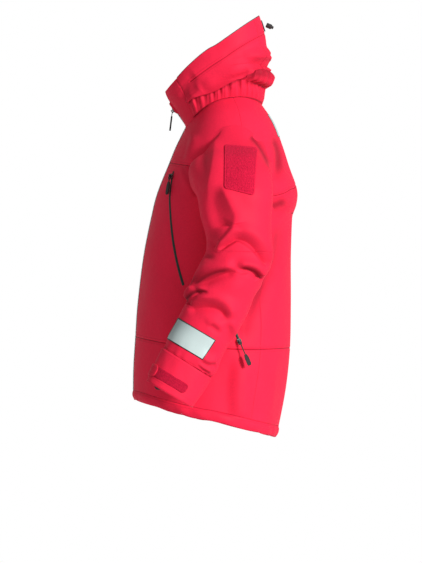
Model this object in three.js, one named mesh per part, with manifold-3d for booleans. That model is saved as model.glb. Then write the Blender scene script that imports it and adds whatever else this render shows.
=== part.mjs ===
// A foul weather sailing jacket, worn shape, closed to the chin, as an assembly of its sewn panels, zips,
// cuffs, hood and cord locks. Millimetres, +Z up, the wearer faces -Y and the wearer's left is +X.
// The origin is the hang loop inside the back of the neck.
import * as THREE from "three";
import { mergeVertices } from "three/addons/utils/BufferGeometryUtils.js";
import Module from "manifold-3d";

const wasm = await Module();
wasm.setup();

// ---------- driving dimensions ----------
const BODY_WIDTH = 376; // across the chest, armpit to armpit
const BODY_DROP = 727; // hang loop down to the hem at the centre back
const CLOTH = 2; // shell fabric with its lining
const SEAM_GAP = 0.8; // between two pieces that are sewn edge to edge
const SKIN_GAP = 0.4; // between a piece and the one it is sewn onto
const SIDE_SEAM = 125; // degrees round the body from the centre front
const SHOULDER_SEAM = 100;
const ARMHOLE_RADIUS = 92;
const ARMHOLE_CLEARANCE = 1.3; // between the armhole and the sleeve head that turns in it
const UPPER_ARM = 244; // armhole centre to elbow centre, down the sleeve
const FOREARM = 302; // elbow centre to cuff end
const FOREARM_TILT = 29.5; // degrees forward of straight down
const CUFF_HEIGHT = 84;
const TAB_WIDTH = 27; // hook and loop cuff tab
const TAPE_WIDTH = 50; // reflective tape
const TAPE_LENGTH = 100;
const PATCH_WIDTH = 74; // loop patch for a badge
const PATCH_HEIGHT = 104;
const CORD_RADIUS = 1.25;
const MAIN_ZIP_HALF = 5; // half the gap between the front edges, filled by the two stringers
const POCKET_ZIP_WIDTH = 6.6;
const POCKET_ZIP_THICK = 1.8;
const SLIDER = { width: 8.4, length: 12, thick: 3.6, crown: 5, hole: 1.5 };
const PIN_RADIUS = 0.9; // wire of a zip pull, turning in the slider's crown
const LOOP_LIFT = 16; // drop of the hang loop below its sewn ends

// ---------- sections of the body and of the hood ----------
// A section is a closed loop round the body. It has a height at the centre front, side and centre back,
// a half width, and the distances it reaches forward (-Y) and back.
function section(front, side, back, half, forward, rear) {
  return { front, side, back, half, forward, rear };
}

const WIDTH_SCALE = BODY_WIDTH / 376;
const DROP_SCALE = BODY_DROP / 727;
const ARMPIT_HEIGHT = -240;

// Below the armpit the heights follow BODY_DROP, so that a longer jacket keeps its armholes and neck.
function belowArmpit(height) {
  const stretch = (BODY_DROP + ARMPIT_HEIGHT) / (727 + ARMPIT_HEIGHT);
  return ARMPIT_HEIGHT + (height - ARMPIT_HEIGHT) * stretch;
}

const BODY = [
  section(-644, -690, -727, 212, -274, 38), // hem edge
  section(-624, -668, -704, 214, -275, 44), // top of the hem band
  section(-570, -600, -620, 214, -274, 60), // skirt
  section(-508, -533, -532, 208, -270, 69), // waist seam
  section(-435, -435, -435, 200, -265, 71), // waist
  section(-330, -330, -330, 193, -252, 71), // midriff
  section(-240, -240, -240, 188, -234, 74), // armpit
  section(-190, -200, -235, 186, -221, 75), // chest
  section(-125, -150, -190, 183, -195, 82), // yoke seam
  section(-95, -90, -130, 177, -183, 66), // shoulder blade
  section(-74, -48, -80, 160, -173, 50), // shoulder
  section(-58, -10, -35, 130, -165, 32), // neck slope
  section(-44, 20, 4, 88, -158, 6), // neckline
].map((s) => ({
  ...s,
  front: s.front < ARMPIT_HEIGHT ? belowArmpit(s.front) : s.front,
  side: s.side < ARMPIT_HEIGHT ? belowArmpit(s.side) : s.side,
  back: s.back < ARMPIT_HEIGHT ? belowArmpit(s.back) : s.back,
  half: s.half * WIDTH_SCALE,
}));
const HEM = 0;
const HEM_TOP = 1;
const WAIST_SEAM = 3;
const ARMPIT = 6;
const YOKE = 8;
const NECKLINE = BODY.length - 1;

const HOOD = [
  section(-42, 24, 8, 90, -160, 6), // neck seam
  section(-16, 56, 42, 102, -178, 12), // top of the gathered neck band
  section(6, 84, 85, 112, -194, 28),
  section(20, 108, 140, 114, -202, 19),
  section(31, 130, 198, 110, -206, 1), // rim
].map((s) => ({ ...s, half: s.half * WIDTH_SCALE }));
const BAND_TOP = 1;
const RIM = HOOD.length - 1;
const COLLAR_EDGE = 42; // degrees: the collar fronts end and the hood's sides begin
const HOOD_SEAM = 150; // degrees: the hood's sides meet its centre panel
const ROUNDNESS = 2.3; // superellipse power of every section

const DEG = Math.PI / 180;

function sectionAt(sections, at) {
  const last = sections.length - 1;
  const i = Math.min(Math.max(Math.floor(at), 0), last - 1);
  const f = at - i;
  const rows = [Math.max(i - 1, 0), i, i + 1, Math.min(i + 2, last)].map((k) => sections[k]);
  const blended = {};
  for (const key of Object.keys(rows[1])) {
    const [a, b, c, d] = rows.map((r) => r[key]);
    blended[key] =
      b + 0.5 * f * (c - a + f * (2 * a - 5 * b + 4 * c - d + f * (3 * (b - c) + d - a)));
  }
  return blended;
}

// The point at an angle round a section, 0 at the centre front and 90 at the wearer's left.
function pointOn(sections, angle, at) {
  const s = sectionAt(sections, at);
  const c = Math.cos(angle * DEG);
  const n = Math.sin(angle * DEG);
  const power = 2 / ROUNDNESS;
  const middle = (s.forward + s.rear) / 2;
  const depth = (s.rear - s.forward) / 2;
  return new THREE.Vector3(
    s.half * Math.sign(n) * Math.abs(n) ** power,
    middle - depth * Math.sign(c) * Math.abs(c) ** power,
    s.side + ((s.front - s.back) / 2) * c + ((s.front + s.back) / 2 - s.side) * c * c,
  );
}

function outwardOn(sections, angle, at) {
  const step = 0.5;
  const round = pointOn(sections, angle + step, at).sub(pointOn(sections, angle - step, at));
  const top = Math.min(at + 0.02, sections.length - 1);
  const up = pointOn(sections, angle, top).sub(pointOn(sections, angle, top - 0.04));
  return round.cross(up).normalize();
}

function liftedOn(sections, angle, at, lift) {
  return pointOn(sections, angle, at).addScaledVector(outwardOn(sections, angle, at), lift);
}

// The angle at which a section reaches a distance to the left of the centre front.
function angleAtWidth(sections, at, width) {
  return Math.asin((width / sectionAt(sections, at).half) ** (ROUNDNESS / 2)) / DEG;
}

// ---------- solids ----------
function facingOut(geometry) {
  const p = geometry.getAttribute("position");
  const index = geometry.index.array;
  let volume = 0;
  const [a, b, c] = [0, 0, 0].map(() => new THREE.Vector3());
  for (let i = 0; i < index.length; i += 3) {
    a.fromBufferAttribute(p, index[i]);
    b.fromBufferAttribute(p, index[i + 1]);
    c.fromBufferAttribute(p, index[i + 2]);
    volume += a.dot(b.cross(c));
  }
  if (volume < 0) {
    for (let i = 0; i < index.length; i += 3) {
      [index[i + 1], index[i + 2]] = [index[i + 2], index[i + 1]];
    }
  }
  return geometry;
}

// A box bent into shape: place(u, v, w) gives the point for each of its own 0 to 1 coordinates.
function bentBox(across, along, place, deep = 1) {
  const geometry = new THREE.BoxGeometry(1, 1, 1, across, along, deep);
  const p = geometry.getAttribute("position");
  for (let i = 0; i < p.count; i++) {
    const q = place(p.getX(i) + 0.5, p.getY(i) + 0.5, p.getZ(i) + 0.5);
    p.setXYZ(i, q.x, q.y, q.z);
  }
  return facingOut(geometry);
}

// A closed ring bent into shape: u runs round it, v along it and w from its inside to its outside.
function bentRing(around, along, place) {
  const profile = [];
  for (let j = 0; j <= along; j++) profile.push([j / along, 1]);
  for (let j = along; j >= 0; j--) profile.push([j / along, 0]);
  profile.push(profile[0]);
  const outline = profile.map(([v, w]) => new THREE.Vector2(1 + w, v));
  const geometry = new THREE.LatheGeometry(outline, around);
  const p = geometry.getAttribute("position");
  for (let i = 0; i <= around; i++) {
    profile.forEach(([v, w], j) => {
      const q = place((i % around) / around, v, w);
      p.setXYZ(i * profile.length + j, q.x, q.y, q.z);
    });
  }
  return facingOut(geometry);
}

function solidOf(geometry) {
  const bare = new THREE.BufferGeometry().setAttribute("position", geometry.getAttribute("position"));
  if (geometry.index) bare.setIndex(geometry.index);
  const merged = mergeVertices(bare, 1e-3);
  const triVerts = new Uint32Array(merged.index.array);
  const vertProperties = merged.getAttribute("position").array;
  return new wasm.Manifold(new wasm.Mesh({ numProp: 3, vertProperties, triVerts }));
}

function geometryOf(solid) {
  const mesh = solid.getMesh();
  return new THREE.BufferGeometry()
    .setAttribute("position", new THREE.BufferAttribute(new Float32Array(mesh.vertProperties), 3))
    .setIndex(new THREE.BufferAttribute(new Uint32Array(mesh.triVerts), 1));
}

function without(geometry, ...tools) {
  const cut = tools.reduce((left, tool) => left.subtract(solidOf(tool)), solidOf(geometry));
  return geometryOf(cut);
}

function joined(...geometries) {
  return geometryOf(geometries.map(solidOf).reduce((sum, next) => sum.add(next)));
}

// A sewn panel on a sectioned surface, trimmed by half a seam gap along each edge.
// A window takes a part of the panel's own grid: [first u, last u, first v, last v], each 0 to 1.
function panel(sections, spec) {
  const { from, to, low, high, inner, outer, across, along } = spec;
  const { trim = SEAM_GAP / 2, window = [0, 1, 0, 1], bulge = 0 } = spec;
  const start = typeof from === "function" ? from : () => from;
  const middle = (start((low + high) / 2) + to) / 2;
  const height = pointOn(sections, middle, high).distanceTo(pointOn(sections, middle, low));
  const cut = (trim * (high - low)) / height;
  return bentBox(across, along, (s, t, w) => {
    const u = window[0] + (window[1] - window[0]) * s;
    const v = window[2] + (window[3] - window[2]) * t;
    const at = low + cut + (high - low - 2 * cut) * v;
    const sag = bulge * Math.sin(s * Math.PI) * Math.sin(t * Math.PI);
    const girth = pointOn(sections, start(at), at).distanceTo(pointOn(sections, to, at));
    const inset = (trim * (to - start(at))) / girth;
    const first = typeof from === "function" ? start(at) : from + inset;
    return liftedOn(sections, first + (to - inset - first) * u, at, inner + (outer - inner) * w - sag);
  });
}

function mirrored(geometry) {
  return facingOut(geometry.clone().applyMatrix4(new THREE.Matrix4().makeScale(-1, 1, 1)));
}

// ---------- materials ----------
function finish(color, roughness, metalness = 0) {
  return new THREE.MeshStandardMaterial({ color, roughness, metalness });
}
const shellFabric = finish(0xf02445, 0.62);
const trimFabric = finish(0xd81f3d, 0.7);
const pileFabric = finish(0xe0153f, 0.95);
const liningFabric = finish(0x2a2d30, 0.85);
const zipTape = finish(0x1f2a29, 0.55);
const zipMetal = finish(0x2b2c2d, 0.4, 0.7);
const gripRubber = finish(0x232222, 0.7);
const reflective = finish(0xc6d2d1, 0.35);
const cordBlack = finish(0x1a1a1a, 0.8);

const jacket = new THREE.Group();

function add(name, geometry, material, parent = jacket) {
  const mesh = new THREE.Mesh(geometry, material);
  mesh.name = name;
  parent.add(mesh);
  return mesh;
}

// Adds a piece on the wearer's left and its mirror image on the right.
function addPair(name, geometry, material) {
  add(`left_${name}`, geometry, material);
  add(`right_${name}`, mirrored(geometry), material);
}

// ---------- pocket zips: an arc through three points of the shell ----------
// The slider turns about the arc's centre, so that it follows the zip exactly.
function zipArc(points) {
  const [a, b, c] = points.map(([angle, at]) => pointOn(BODY, angle, at));
  const ab = b.clone().sub(a);
  const ac = c.clone().sub(a);
  const axis = ab.clone().cross(ac);
  const toCentre = axis.clone().cross(ab).multiplyScalar(ac.lengthSq());
  toCentre.add(ac.clone().cross(axis).multiplyScalar(ab.lengthSq()));
  const centre = a.clone().addScaledVector(toCentre, 1 / (2 * axis.lengthSq()));
  axis.normalize();
  const sweep = a.clone().sub(centre).angleTo(c.clone().sub(centre));
  const spoke = a.clone().sub(centre).applyAxisAngle(axis, sweep / 2);
  const up = axis.clone().cross(spoke).normalize().negate();
  const out = outwardOn(BODY, ...points[1]);
  out.addScaledVector(up, -out.dot(up)).normalize();
  return { axis, centre, sweep, spoke, up, out };
}

// The frame of a zip at a share of its length: x across it, y out of the cloth and z back up the zip.
function arcFrame(arc, share) {
  const turned = (v) => v.clone().applyAxisAngle(arc.axis, arc.sweep * (share - 0.5));
  const [out, up] = [turned(arc.out), turned(arc.up)];
  return { place: turned(arc.spoke).add(arc.centre), out, up, side: out.clone().cross(up) };
}

function zipStrip(arc, width, low, high, spread = 0) {
  const steps = 10;
  return bentBox(1, steps, (u, v, w) => {
    const share = -spread + (1 + 2 * spread) * v;
    const { place, out, side } = arcFrame(arc, share);
    return place
      .clone()
      .addScaledVector(side, (u - 0.5) * width)
      .addScaledVector(out, low + (high - low) * w);
  });
}

const CHEST_ZIP = zipArc([
  [28.3, 7.7],
  [44, 6.1],
  [68, 4.39],
]);
const HAND_ZIP = zipArc([
  [92, 4.62],
  [98.4, 3.85],
  [107.5, 3.12],
]);
const ZIP_SINK = -1.2; // how far a pocket zip is set into the shell

function zipSlot(arc) {
  return zipStrip(arc, POCKET_ZIP_WIDTH + 2 * SKIN_GAP, -15, 15, 0.01);
}

function pocketZip(arc) {
  return zipStrip(arc, POCKET_ZIP_WIDTH, ZIP_SINK, ZIP_SINK + POCKET_ZIP_THICK);
}

// ---------- armhole and sleeve ----------
const SHOULDER = new THREE.Vector3(BODY[ARMPIT].half - 38, -56, -128); // centre of the armhole
const armholeCutter = new THREE.CylinderGeometry(ARMHOLE_RADIUS, ARMHOLE_RADIUS, 400, 32)
  .rotateZ(Math.PI / 2)
  .translate(SHOULDER.x + 160, SHOULDER.y, SHOULDER.z);

// Rings down the upper sleeve: out from the armhole centre, back, down, tilt from facing sideways to facing
// down in degrees, half width and half depth.
const SLEEVE_HEAD = ARMHOLE_RADIUS - ARMHOLE_CLEARANCE;
const ELBOW_OUT = 126; // elbow centre, out from the armhole centre
const ELBOW_WIDTH = 60;
const ELBOW_DEPTH = 73.5;
const UPPER_RINGS = [
  [0, 0, 0, 0, SLEEVE_HEAD, SLEEVE_HEAD],
  [38, 0, -3, 22, 86, 87],
  [74, 2, -22, 41, 72, 81],
  [106, 3, -62, 69, 62, 77],
  [114, 5, -112, 82, 58, 76],
  [121, 5, -172, 88, 58, 74],
  [ELBOW_OUT, 4, -UPPER_ARM, 90, ELBOW_WIDTH, ELBOW_DEPTH],
].map(([out, back, up, tilt, half, depth]) => ({ out, back, up, tilt, half, depth }));
const ELBOW = new THREE.Vector3(ELBOW_OUT, 4, -UPPER_ARM).add(SHOULDER);
const ELBOW_CUT = { front: 1.19, back: 0.3 }; // slope of the upper sleeve's end, to clear the forearm

function upperSleevePoint(u, v, w) {
  const ring = sectionAt(UPPER_RINGS, v * (UPPER_RINGS.length - 1));
  const around = u * 2 * Math.PI; // 0 forward, a quarter turn outward
  const out = Math.sin(around);
  const forward = Math.cos(around);
  const inset = (w - 1) * CLOTH;
  const tilt = ring.tilt * DEG;
  const cut = forward > 0 ? ELBOW_CUT.front : ELBOW_CUT.back;
  const slope = cut * Math.max(0, 2 * v - 1) ** 1.5;
  const reach = out * (ring.half + inset);
  return new THREE.Vector3(
    SHOULDER.x + ring.out + reach * Math.sin(tilt),
    SHOULDER.y + ring.back - forward * (ring.depth + inset),
    SHOULDER.z + ring.up + reach * Math.cos(tilt) + forward * ring.depth * slope,
  );
}

const FOREARM_DRIFT = 0.1; // how far the forearm leans outward, per length
const forearmDown = new THREE.Vector3(
  FOREARM_DRIFT,
  -Math.sin(FOREARM_TILT * DEG),
  -Math.cos(FOREARM_TILT * DEG),
).normalize();
const forearmForward = new THREE.Vector3(
  0,
  -Math.cos(FOREARM_TILT * DEG),
  Math.sin(FOREARM_TILT * DEG),
);
const forearmOut = forearmDown.clone().cross(forearmForward).normalize();
if (forearmOut.x < 0) forearmOut.negate();

// Half width and half depth of the forearm at a distance from the elbow.
const ELBOW_PLAY = 2.5; // the forearm's round head turns inside the upper sleeve with this much room
const FOREARM_RINGS = [
  { half: 56, depth: 67 },
  { half: 55, depth: 66 },
  { half: 53, depth: 64 },
  { half: 50, depth: 61 },
  { half: 47, depth: 57 },
];

function forearmPoint(distance, around, lift) {
  const at = (distance / FOREARM) * (FOREARM_RINGS.length - 1);
  const ring = sectionAt(FOREARM_RINGS, Math.max(0, at));
  return ELBOW.clone()
    .addScaledVector(forearmDown, distance)
    .addScaledVector(forearmForward, Math.cos(around) * (ring.depth + lift))
    .addScaledVector(forearmOut, Math.sin(around) * (ring.half + lift));
}

// The forearm's head is a flattened ball round the elbow, so that it can bend in the upper sleeve.
const BALL = {
  depth: ELBOW_DEPTH - CLOTH - ELBOW_PLAY,
  half: ELBOW_WIDTH - CLOTH - ELBOW_PLAY,
  top: 125, // degrees from the forearm's axis to the ball's open edge
  foot: 75, // degrees to where the ball meets the forearm
};

function forearmSleevePoint(u, v, w) {
  const around = u * 2 * Math.PI;
  const lift = (w - 1) * CLOTH;
  const ballShare = 0.35;
  if (v < ballShare) {
    const polar = (BALL.top + (BALL.foot - BALL.top) * (v / ballShare)) * DEG;
    const shrink = Math.sin(polar);
    return ELBOW.clone()
      .addScaledVector(forearmDown, Math.cos(polar) * (BALL.depth + lift))
      .addScaledVector(forearmForward, Math.cos(around) * shrink * (BALL.depth + lift))
      .addScaledVector(forearmOut, Math.sin(around) * shrink * (BALL.half + lift));
  }
  const start = Math.cos(BALL.foot * DEG) * BALL.depth + 6;
  const end = FOREARM - CUFF_HEIGHT - SEAM_GAP;
  const distance = start + ((end - start) * (v - ballShare)) / (1 - ballShare);
  return forearmPoint(distance, around, lift);
}

const SEAL = { height: 60, proud: 3, thick: 1.6 }; // soft inner cuff, just showing below the cuff

function makeSleeve() {
  addPair("upper_sleeve", bentRing(24, 9, upperSleevePoint), shellFabric);
  addPair("forearm_sleeve", bentRing(24, 8, forearmSleevePoint), shellFabric);
  const cuff = bentRing(24, 2, (u, v, w) =>
    forearmPoint(FOREARM - CUFF_HEIGHT * (1 - v), u * 2 * Math.PI, (w - 1) * CLOTH),
  );
  addPair("cuff", cuff, trimFabric);
  const seal = bentRing(24, 1, (u, v, w) =>
    forearmPoint(
      FOREARM - SEAL.height * (1 - v) + SEAL.proud,
      u * 2 * Math.PI,
      -CLOTH - SKIN_GAP + (w - 1) * SEAL.thick,
    ),
  );
  addPair("inner_cuff", seal, liningFabric);
}

// A strip lying round the forearm: distances from the elbow, angles from straight forward, and lifts.
function forearmStrip(near, far, from, to, low, high, across) {
  return bentBox(across, 1, (u, v, w) =>
    forearmPoint(near + (far - near) * v, (from + (to - from) * u) * DEG, low + (high - low) * w),
  );
}

const TAB_FOOT = 9.5; // cuff end to the tab
const FACET = 360 / 24; // degrees of the forearm's own facets, which the strips on it share
const STRIP = { from: -2 * FACET, to: 9 * FACET, thick: 1.2 };
const TAB = { from: -5 * FACET, to: FACET, thick: 1.8 };
const TAPE = { from: 0, thick: 0.8, foot: 104 };

function makeCuffTrim() {
  const near = FOREARM - TAB_FOOT - TAB_WIDTH;
  const far = FOREARM - TAB_FOOT;
  const stripTop = SKIN_GAP + STRIP.thick;
  const strip = forearmStrip(near + 1, far - 1, STRIP.from, STRIP.to, SKIN_GAP, stripTop, 11);
  addPair("cuff_loop_strip", strip, pileFabric);
  const tabLow = stripTop + SKIN_GAP;
  const tab = forearmStrip(near, far, TAB.from, TAB.to, tabLow, tabLow + TAB.thick, 6);
  addPair("cuff_tab", tab, trimFabric);
  const foot = FOREARM - TAPE.foot;
  const girth = 59; // mean radius of the forearm under the tape
  const to = TAPE.from + TAPE_LENGTH / girth / DEG;
  const tape = forearmStrip(
    foot - TAPE_WIDTH, foot, TAPE.from, to, 2 * SKIN_GAP, 2 * SKIN_GAP + TAPE.thick, 10,
  );
  addPair("reflective_tape", tape, reflective);
}

// ---------- badge patch on the upper sleeve ----------
// It follows the sleeve, and its middle is levelled to a plane, so that a badge seats there.
const PATCH = { thick: 2.4, round: 16, top: 38, flat: 0.18 };

// The height of a ring of the sleeve's outermost line, and back: the share v of that line at a height.
function sleeveShare(height) {
  let best = 0.05;
  for (let v = 0.05; v < 0.9; v += 0.001) {
    const nearer = Math.abs(upperSleevePoint(0.25, v, 1).z - height);
    if (nearer < Math.abs(upperSleevePoint(0.25, best, 1).z - height)) best = v;
  }
  return best;
}

function makeBadgePatch() {
  const top = sleeveShare(SHOULDER.z + PATCH.top);
  const foot = sleeveShare(SHOULDER.z + PATCH.top - PATCH_HEIGHT * 0.94);
  const turn = PATCH_WIDTH / 74 / (2 * Math.PI); // the sleeve's radius there is about 74
  const base = (u, v) =>
    upperSleevePoint((90 + PATCH.round) / 360 + (u - 0.5) * turn, foot + (top - foot) * v, 1);
  const step = 0.01;
  const along = base(0.5, 0.5 + step).sub(base(0.5, 0.5 - step));
  const out = base(0.5 + step, 0.5).sub(base(0.5 - step, 0.5)).cross(along).normalize();
  if (out.x < 0) out.negate();
  const centre = base(0.5, 0.5);
  const isLevel = (u, v) => Math.abs(u - 0.5) <= PATCH.flat && Math.abs(v - 0.5) <= PATCH.flat;
  const block = bentBox(6, 6, (u, v, w) => {
    const cloth = base(u, v);
    if (w === 1 && isLevel(u, v)) {
      return cloth.addScaledVector(out, PATCH.thick + 2 * SKIN_GAP - cloth.clone().sub(centre).dot(out));
    }
    return cloth.addScaledVector(out, 2 * SKIN_GAP + w * (PATCH.thick - SKIN_GAP));
  });
  add("badge_patch", block, pileFabric);
}

// ---------- body panels ----------
const frontEdge = (at) => angleAtWidth(BODY, at, MAIN_ZIP_HALF + SKIN_GAP);
const FRONT_PANEL = {
  from: frontEdge, to: SIDE_SEAM, low: WAIST_SEAM, high: YOKE, across: 12, along: 9,
};

function makeBody() {
  const shell = { inner: -CLOTH, outer: 0 };
  const frontShell = { ...shell, from: frontEdge, to: SIDE_SEAM };
  const backShell = { ...shell, from: SIDE_SEAM, to: 360 - SIDE_SEAM };
  const front = panel(BODY, { ...FRONT_PANEL, ...shell });
  const frontCut = without(front, armholeCutter, zipSlot(CHEST_ZIP), zipSlot(HAND_ZIP));
  addPair("front_panel", frontCut, shellFabric);
  const yoke = panel(BODY, {
    ...frontShell, to: SHOULDER_SEAM, low: YOKE, high: NECKLINE, across: 10, along: 6,
  });
  addPair("front_yoke", without(yoke, armholeCutter), shellFabric);
  const skirt = panel(BODY, { ...frontShell, low: HEM_TOP, high: WAIST_SEAM, across: 12, along: 4 });
  addPair("front_skirt", skirt, shellFabric);
  const rightArmhole = mirrored(armholeCutter);
  const back = panel(BODY, { ...backShell, low: WAIST_SEAM, high: YOKE, across: 10, along: 9 });
  add("back_panel", without(back, armholeCutter, rightArmhole), shellFabric);
  const backYoke = panel(BODY, {
    ...shell, from: SHOULDER_SEAM, to: 360 - SHOULDER_SEAM, low: YOKE, high: NECKLINE, across: 14, along: 7,
  });
  add("back_yoke", without(backYoke, armholeCutter, rightArmhole), shellFabric);
  const backSkirt = panel(BODY, {
    ...backShell, low: HEM_TOP, high: WAIST_SEAM, across: 10, along: 4,
  });
  add("back_skirt", backSkirt, shellFabric);
}

// ---------- hem ----------
const HEM_PROUD = 1.2;
const HEM_DEPTH = 4;

function makeHem() {
  const from = (at) => angleAtWidth(BODY, at, MAIN_ZIP_HALF + SKIN_GAP);
  const band = bentBox(32, 1, (u, v, w) => {
    const at = HEM + (HEM_TOP - 0.04 - HEM) * v;
    const angle = from(at) + (360 - 2 * from(at)) * u;
    return liftedOn(BODY, angle, at, HEM_PROUD - HEM_DEPTH * (1 - w));
  });
  add("hem_band", band, trimFabric);
}

function bare(geometry) {
  return new THREE.BufferGeometry().setAttribute("position", geometry.getAttribute("position"));
}

// ---------- cord lock: a housing with a sprung button ----------
const LOCK = { radius: 5.4, length: 13, bore: 3.6, depth: 9, button: 3.2, proud: 4.2, travel: 3 };

function lockHousing() {
  const outline = [
    [0, 0],
    [LOCK.radius - 1, 0],
    [LOCK.radius, 1.4],
    [LOCK.radius, LOCK.length - 1.4],
    [LOCK.radius - 1, LOCK.length],
    [LOCK.bore, LOCK.length],
    [LOCK.bore, LOCK.length - LOCK.depth],
    [0, LOCK.length - LOCK.depth],
  ].map(([x, y]) => new THREE.Vector2(x, y));
  return facingOut(new THREE.LatheGeometry(outline, 14).rotateX(Math.PI / 2));
}

function lockButton() {
  const foot = LOCK.length - LOCK.depth + LOCK.travel + 0.6;
  const outline = [
    [0, foot],
    [LOCK.button, foot],
    [LOCK.button, LOCK.length + LOCK.proud - 1],
    [LOCK.button - 1, LOCK.length + LOCK.proud],
    [0, LOCK.length + LOCK.proud],
  ].map(([x, y]) => new THREE.Vector2(x, y));
  return facingOut(new THREE.LatheGeometry(outline, 14).rotateX(Math.PI / 2));
}

// ---------- collar, neck band and hood ----------
function makeCollarAndHood() {
  const edge = (at) => angleAtWidth(HOOD, at, MAIN_ZIP_HALF + SKIN_GAP);
  const shell = { inner: -CLOTH, outer: 0 };
  const collar = panel(HOOD, {
    ...shell, from: edge, to: COLLAR_EDGE, low: 0, high: RIM, across: 5, along: 8,
  });
  addPair("collar_front", collar, shellFabric);
  const band = panel(HOOD, {
    inner: -CLOTH, outer: 1, from: COLLAR_EDGE, to: 360 - COLLAR_EDGE,
    low: 0, high: BAND_TOP, across: 20, along: 2, trim: SEAM_GAP,
  });
  add("neck_band", band, trimFabric);
  const lining = panel(HOOD, {
    inner: -2 * CLOTH - SKIN_GAP, outer: -CLOTH - SKIN_GAP, from: 14, to: 346,
    low: 0.1, high: BAND_TOP, across: 24, along: 2,
  });
  add("inner_collar", lining, liningFabric);
  const side = panel(HOOD, {
    ...shell, from: COLLAR_EDGE, to: HOOD_SEAM, low: BAND_TOP, high: RIM, across: 9, along: 6,
  });
  addPair("hood_side", side, shellFabric);
  const centre = panel(HOOD, {
    ...shell, from: HOOD_SEAM, to: 360 - HOOD_SEAM, low: BAND_TOP, high: RIM, across: 6, along: 6,
  });
  add("hood_centre", centre, shellFabric);
}

// A dark binding along the hood's rim.
const BINDING_HEIGHT = 3;

function makeBinding() {
  const binding = bentBox(28, 1, (u, v, w) => {
    const angle = COLLAR_EDGE + 1 + (358 - 2 * COLLAR_EDGE) * u;
    const rim = liftedOn(HOOD, angle, RIM, (w - 1) * CLOTH);
    const up = pointOn(HOOD, angle, RIM).sub(pointOn(HOOD, angle, RIM - 0.05)).normalize();
    return rim.addScaledVector(up, SKIN_GAP + BINDING_HEIGHT * v);
  });
  add("hood_binding", binding, liningFabric);
}

// The hood's rear adjuster: a cord loop along the cloth, and a cord lock that hangs on it.
const ADJUSTER_AT = 3.55;

function makeHoodAdjuster() {
  const out = outwardOn(HOOD, 180, ADJUSTER_AT);
  const base = liftedOn(HOOD, 180, ADJUSTER_AT, CORD_RADIUS + SKIN_GAP);
  const up = new THREE.Vector3(0, out.z, -out.y).normalize();
  if (up.z < 0) up.negate();
  const loop = new THREE.CatmullRomCurve3(
    [[-9, 12], [-3.2, 9], [-1.6, 0], [-3.2, -9], [-9, -12]].map(([side, rise]) =>
      base.clone().addScaledVector(up, rise).add(new THREE.Vector3(side, 0, 0)),
    ),
  );
  const circle = new THREE.Shape().absarc(0, 0, CORD_RADIUS, 0, 2 * Math.PI);
  const cord = new THREE.ExtrudeGeometry(circle, { steps: 14, curveSegments: 3, extrudePath: loop });
  add("hood_cord", facingOut(mergeVertices(bare(cord))), cordBlack);

  const mount = new THREE.Group();
  mount.name = "hood_lock_frame";
  const away = out.clone().multiplyScalar(0.75).addScaledVector(up, -0.66).normalize();
  mount.quaternion.setFromUnitVectors(new THREE.Vector3(0, 0, 1), away);
  mount.position.copy(base).addScaledVector(out, LOCK.radius + CORD_RADIUS + SKIN_GAP);
  jacket.add(mount);
  add("hood_cord_lock", lockHousing(), gripRubber, mount);
  add("hood_lock_button", lockButton(), gripRubber, mount);
}

// ---------- main zip ----------
const frontLine = new THREE.CatmullRomCurve3([
  ...BODY.map((s) => new THREE.Vector3(0, s.forward, s.front)),
  ...HOOD.slice(1).map((s) => new THREE.Vector3(0, s.forward, s.front)),
]);

function frontFrame(share) {
  const up = frontLine.getTangentAt(share);
  return { place: frontLine.getPointAt(share), up, out: new THREE.Vector3(0, -up.z, up.y) };
}

function frontStrip(steps, from, to, left, right, inner, outer) {
  return bentBox(1, steps, (u, v, w) => {
    const { place, out } = frontFrame(from + (to - from) * v);
    const x = left + (right - left) * u;
    return place.addScaledVector(out, inner + (outer - inner) * w).setX(x);
  });
}

function shareAtHeight(height) {
  for (let s = 0; s < 1; s += 0.001) {
    if (frontLine.getPointAt(s).z >= height) return s;
  }
  return 1;
}

const GUARD_FOOT = 2; // height at which the chin guard starts
const STRINGER = { inner: -4.4, outer: 0.5 };
const FLAP = { half: 17, thick: 1.4 };

function makeMainZip() {
  const [foot, head, steps] = [0.002, 0.985, 26];
  const stringer = frontStrip(
    steps, foot, head, SKIN_GAP / 2, MAIN_ZIP_HALF, STRINGER.inner, STRINGER.outer,
  );
  addPair("zip_stringer", stringer, zipTape);
  const outer = STRINGER.inner - SKIN_GAP;
  const flap = frontStrip(steps, foot, head, -FLAP.half, FLAP.half, outer - FLAP.thick, outer);
  add("storm_flap", flap, liningFabric);
  const guard = shareAtHeight(GUARD_FOOT);
  add("chin_guard", frontStrip(5, guard, 0.998, -18, 18, 1.2, 4), trimFabric);
}

// ---------- zip sliders and pulls ----------
// In its own frame a slider lies with z up the zip, y out of the cloth, and the crown's hole along x.
function sliderBody() {
  const { width, length, thick, crown, hole } = SLIDER;
  const outline = new THREE.Shape()
    .moveTo(-width / 2, -length / 2)
    .lineTo(width / 2, -length / 2)
    .lineTo(width / 2 + 0.8, length / 2 - 3)
    .lineTo(width / 4, length / 2)
    .lineTo(-width / 4, length / 2)
    .lineTo(-width / 2 - 0.8, length / 2 - 3);
  const plate = new THREE.ExtrudeGeometry(outline, { depth: thick, bevelEnabled: false });
  plate.rotateX(Math.PI / 2).translate(0, thick, 0);
  const arch = new THREE.BoxGeometry(2.4, crown, 7).translate(0, thick + crown / 2 - 0.1, 0);
  const bore = new THREE.CylinderGeometry(hole, hole, 10, 12).rotateZ(Math.PI / 2);
  bore.translate(0, thick + crown / 2, 0);
  return without(joined(plate, arch), bore);
}

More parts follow.
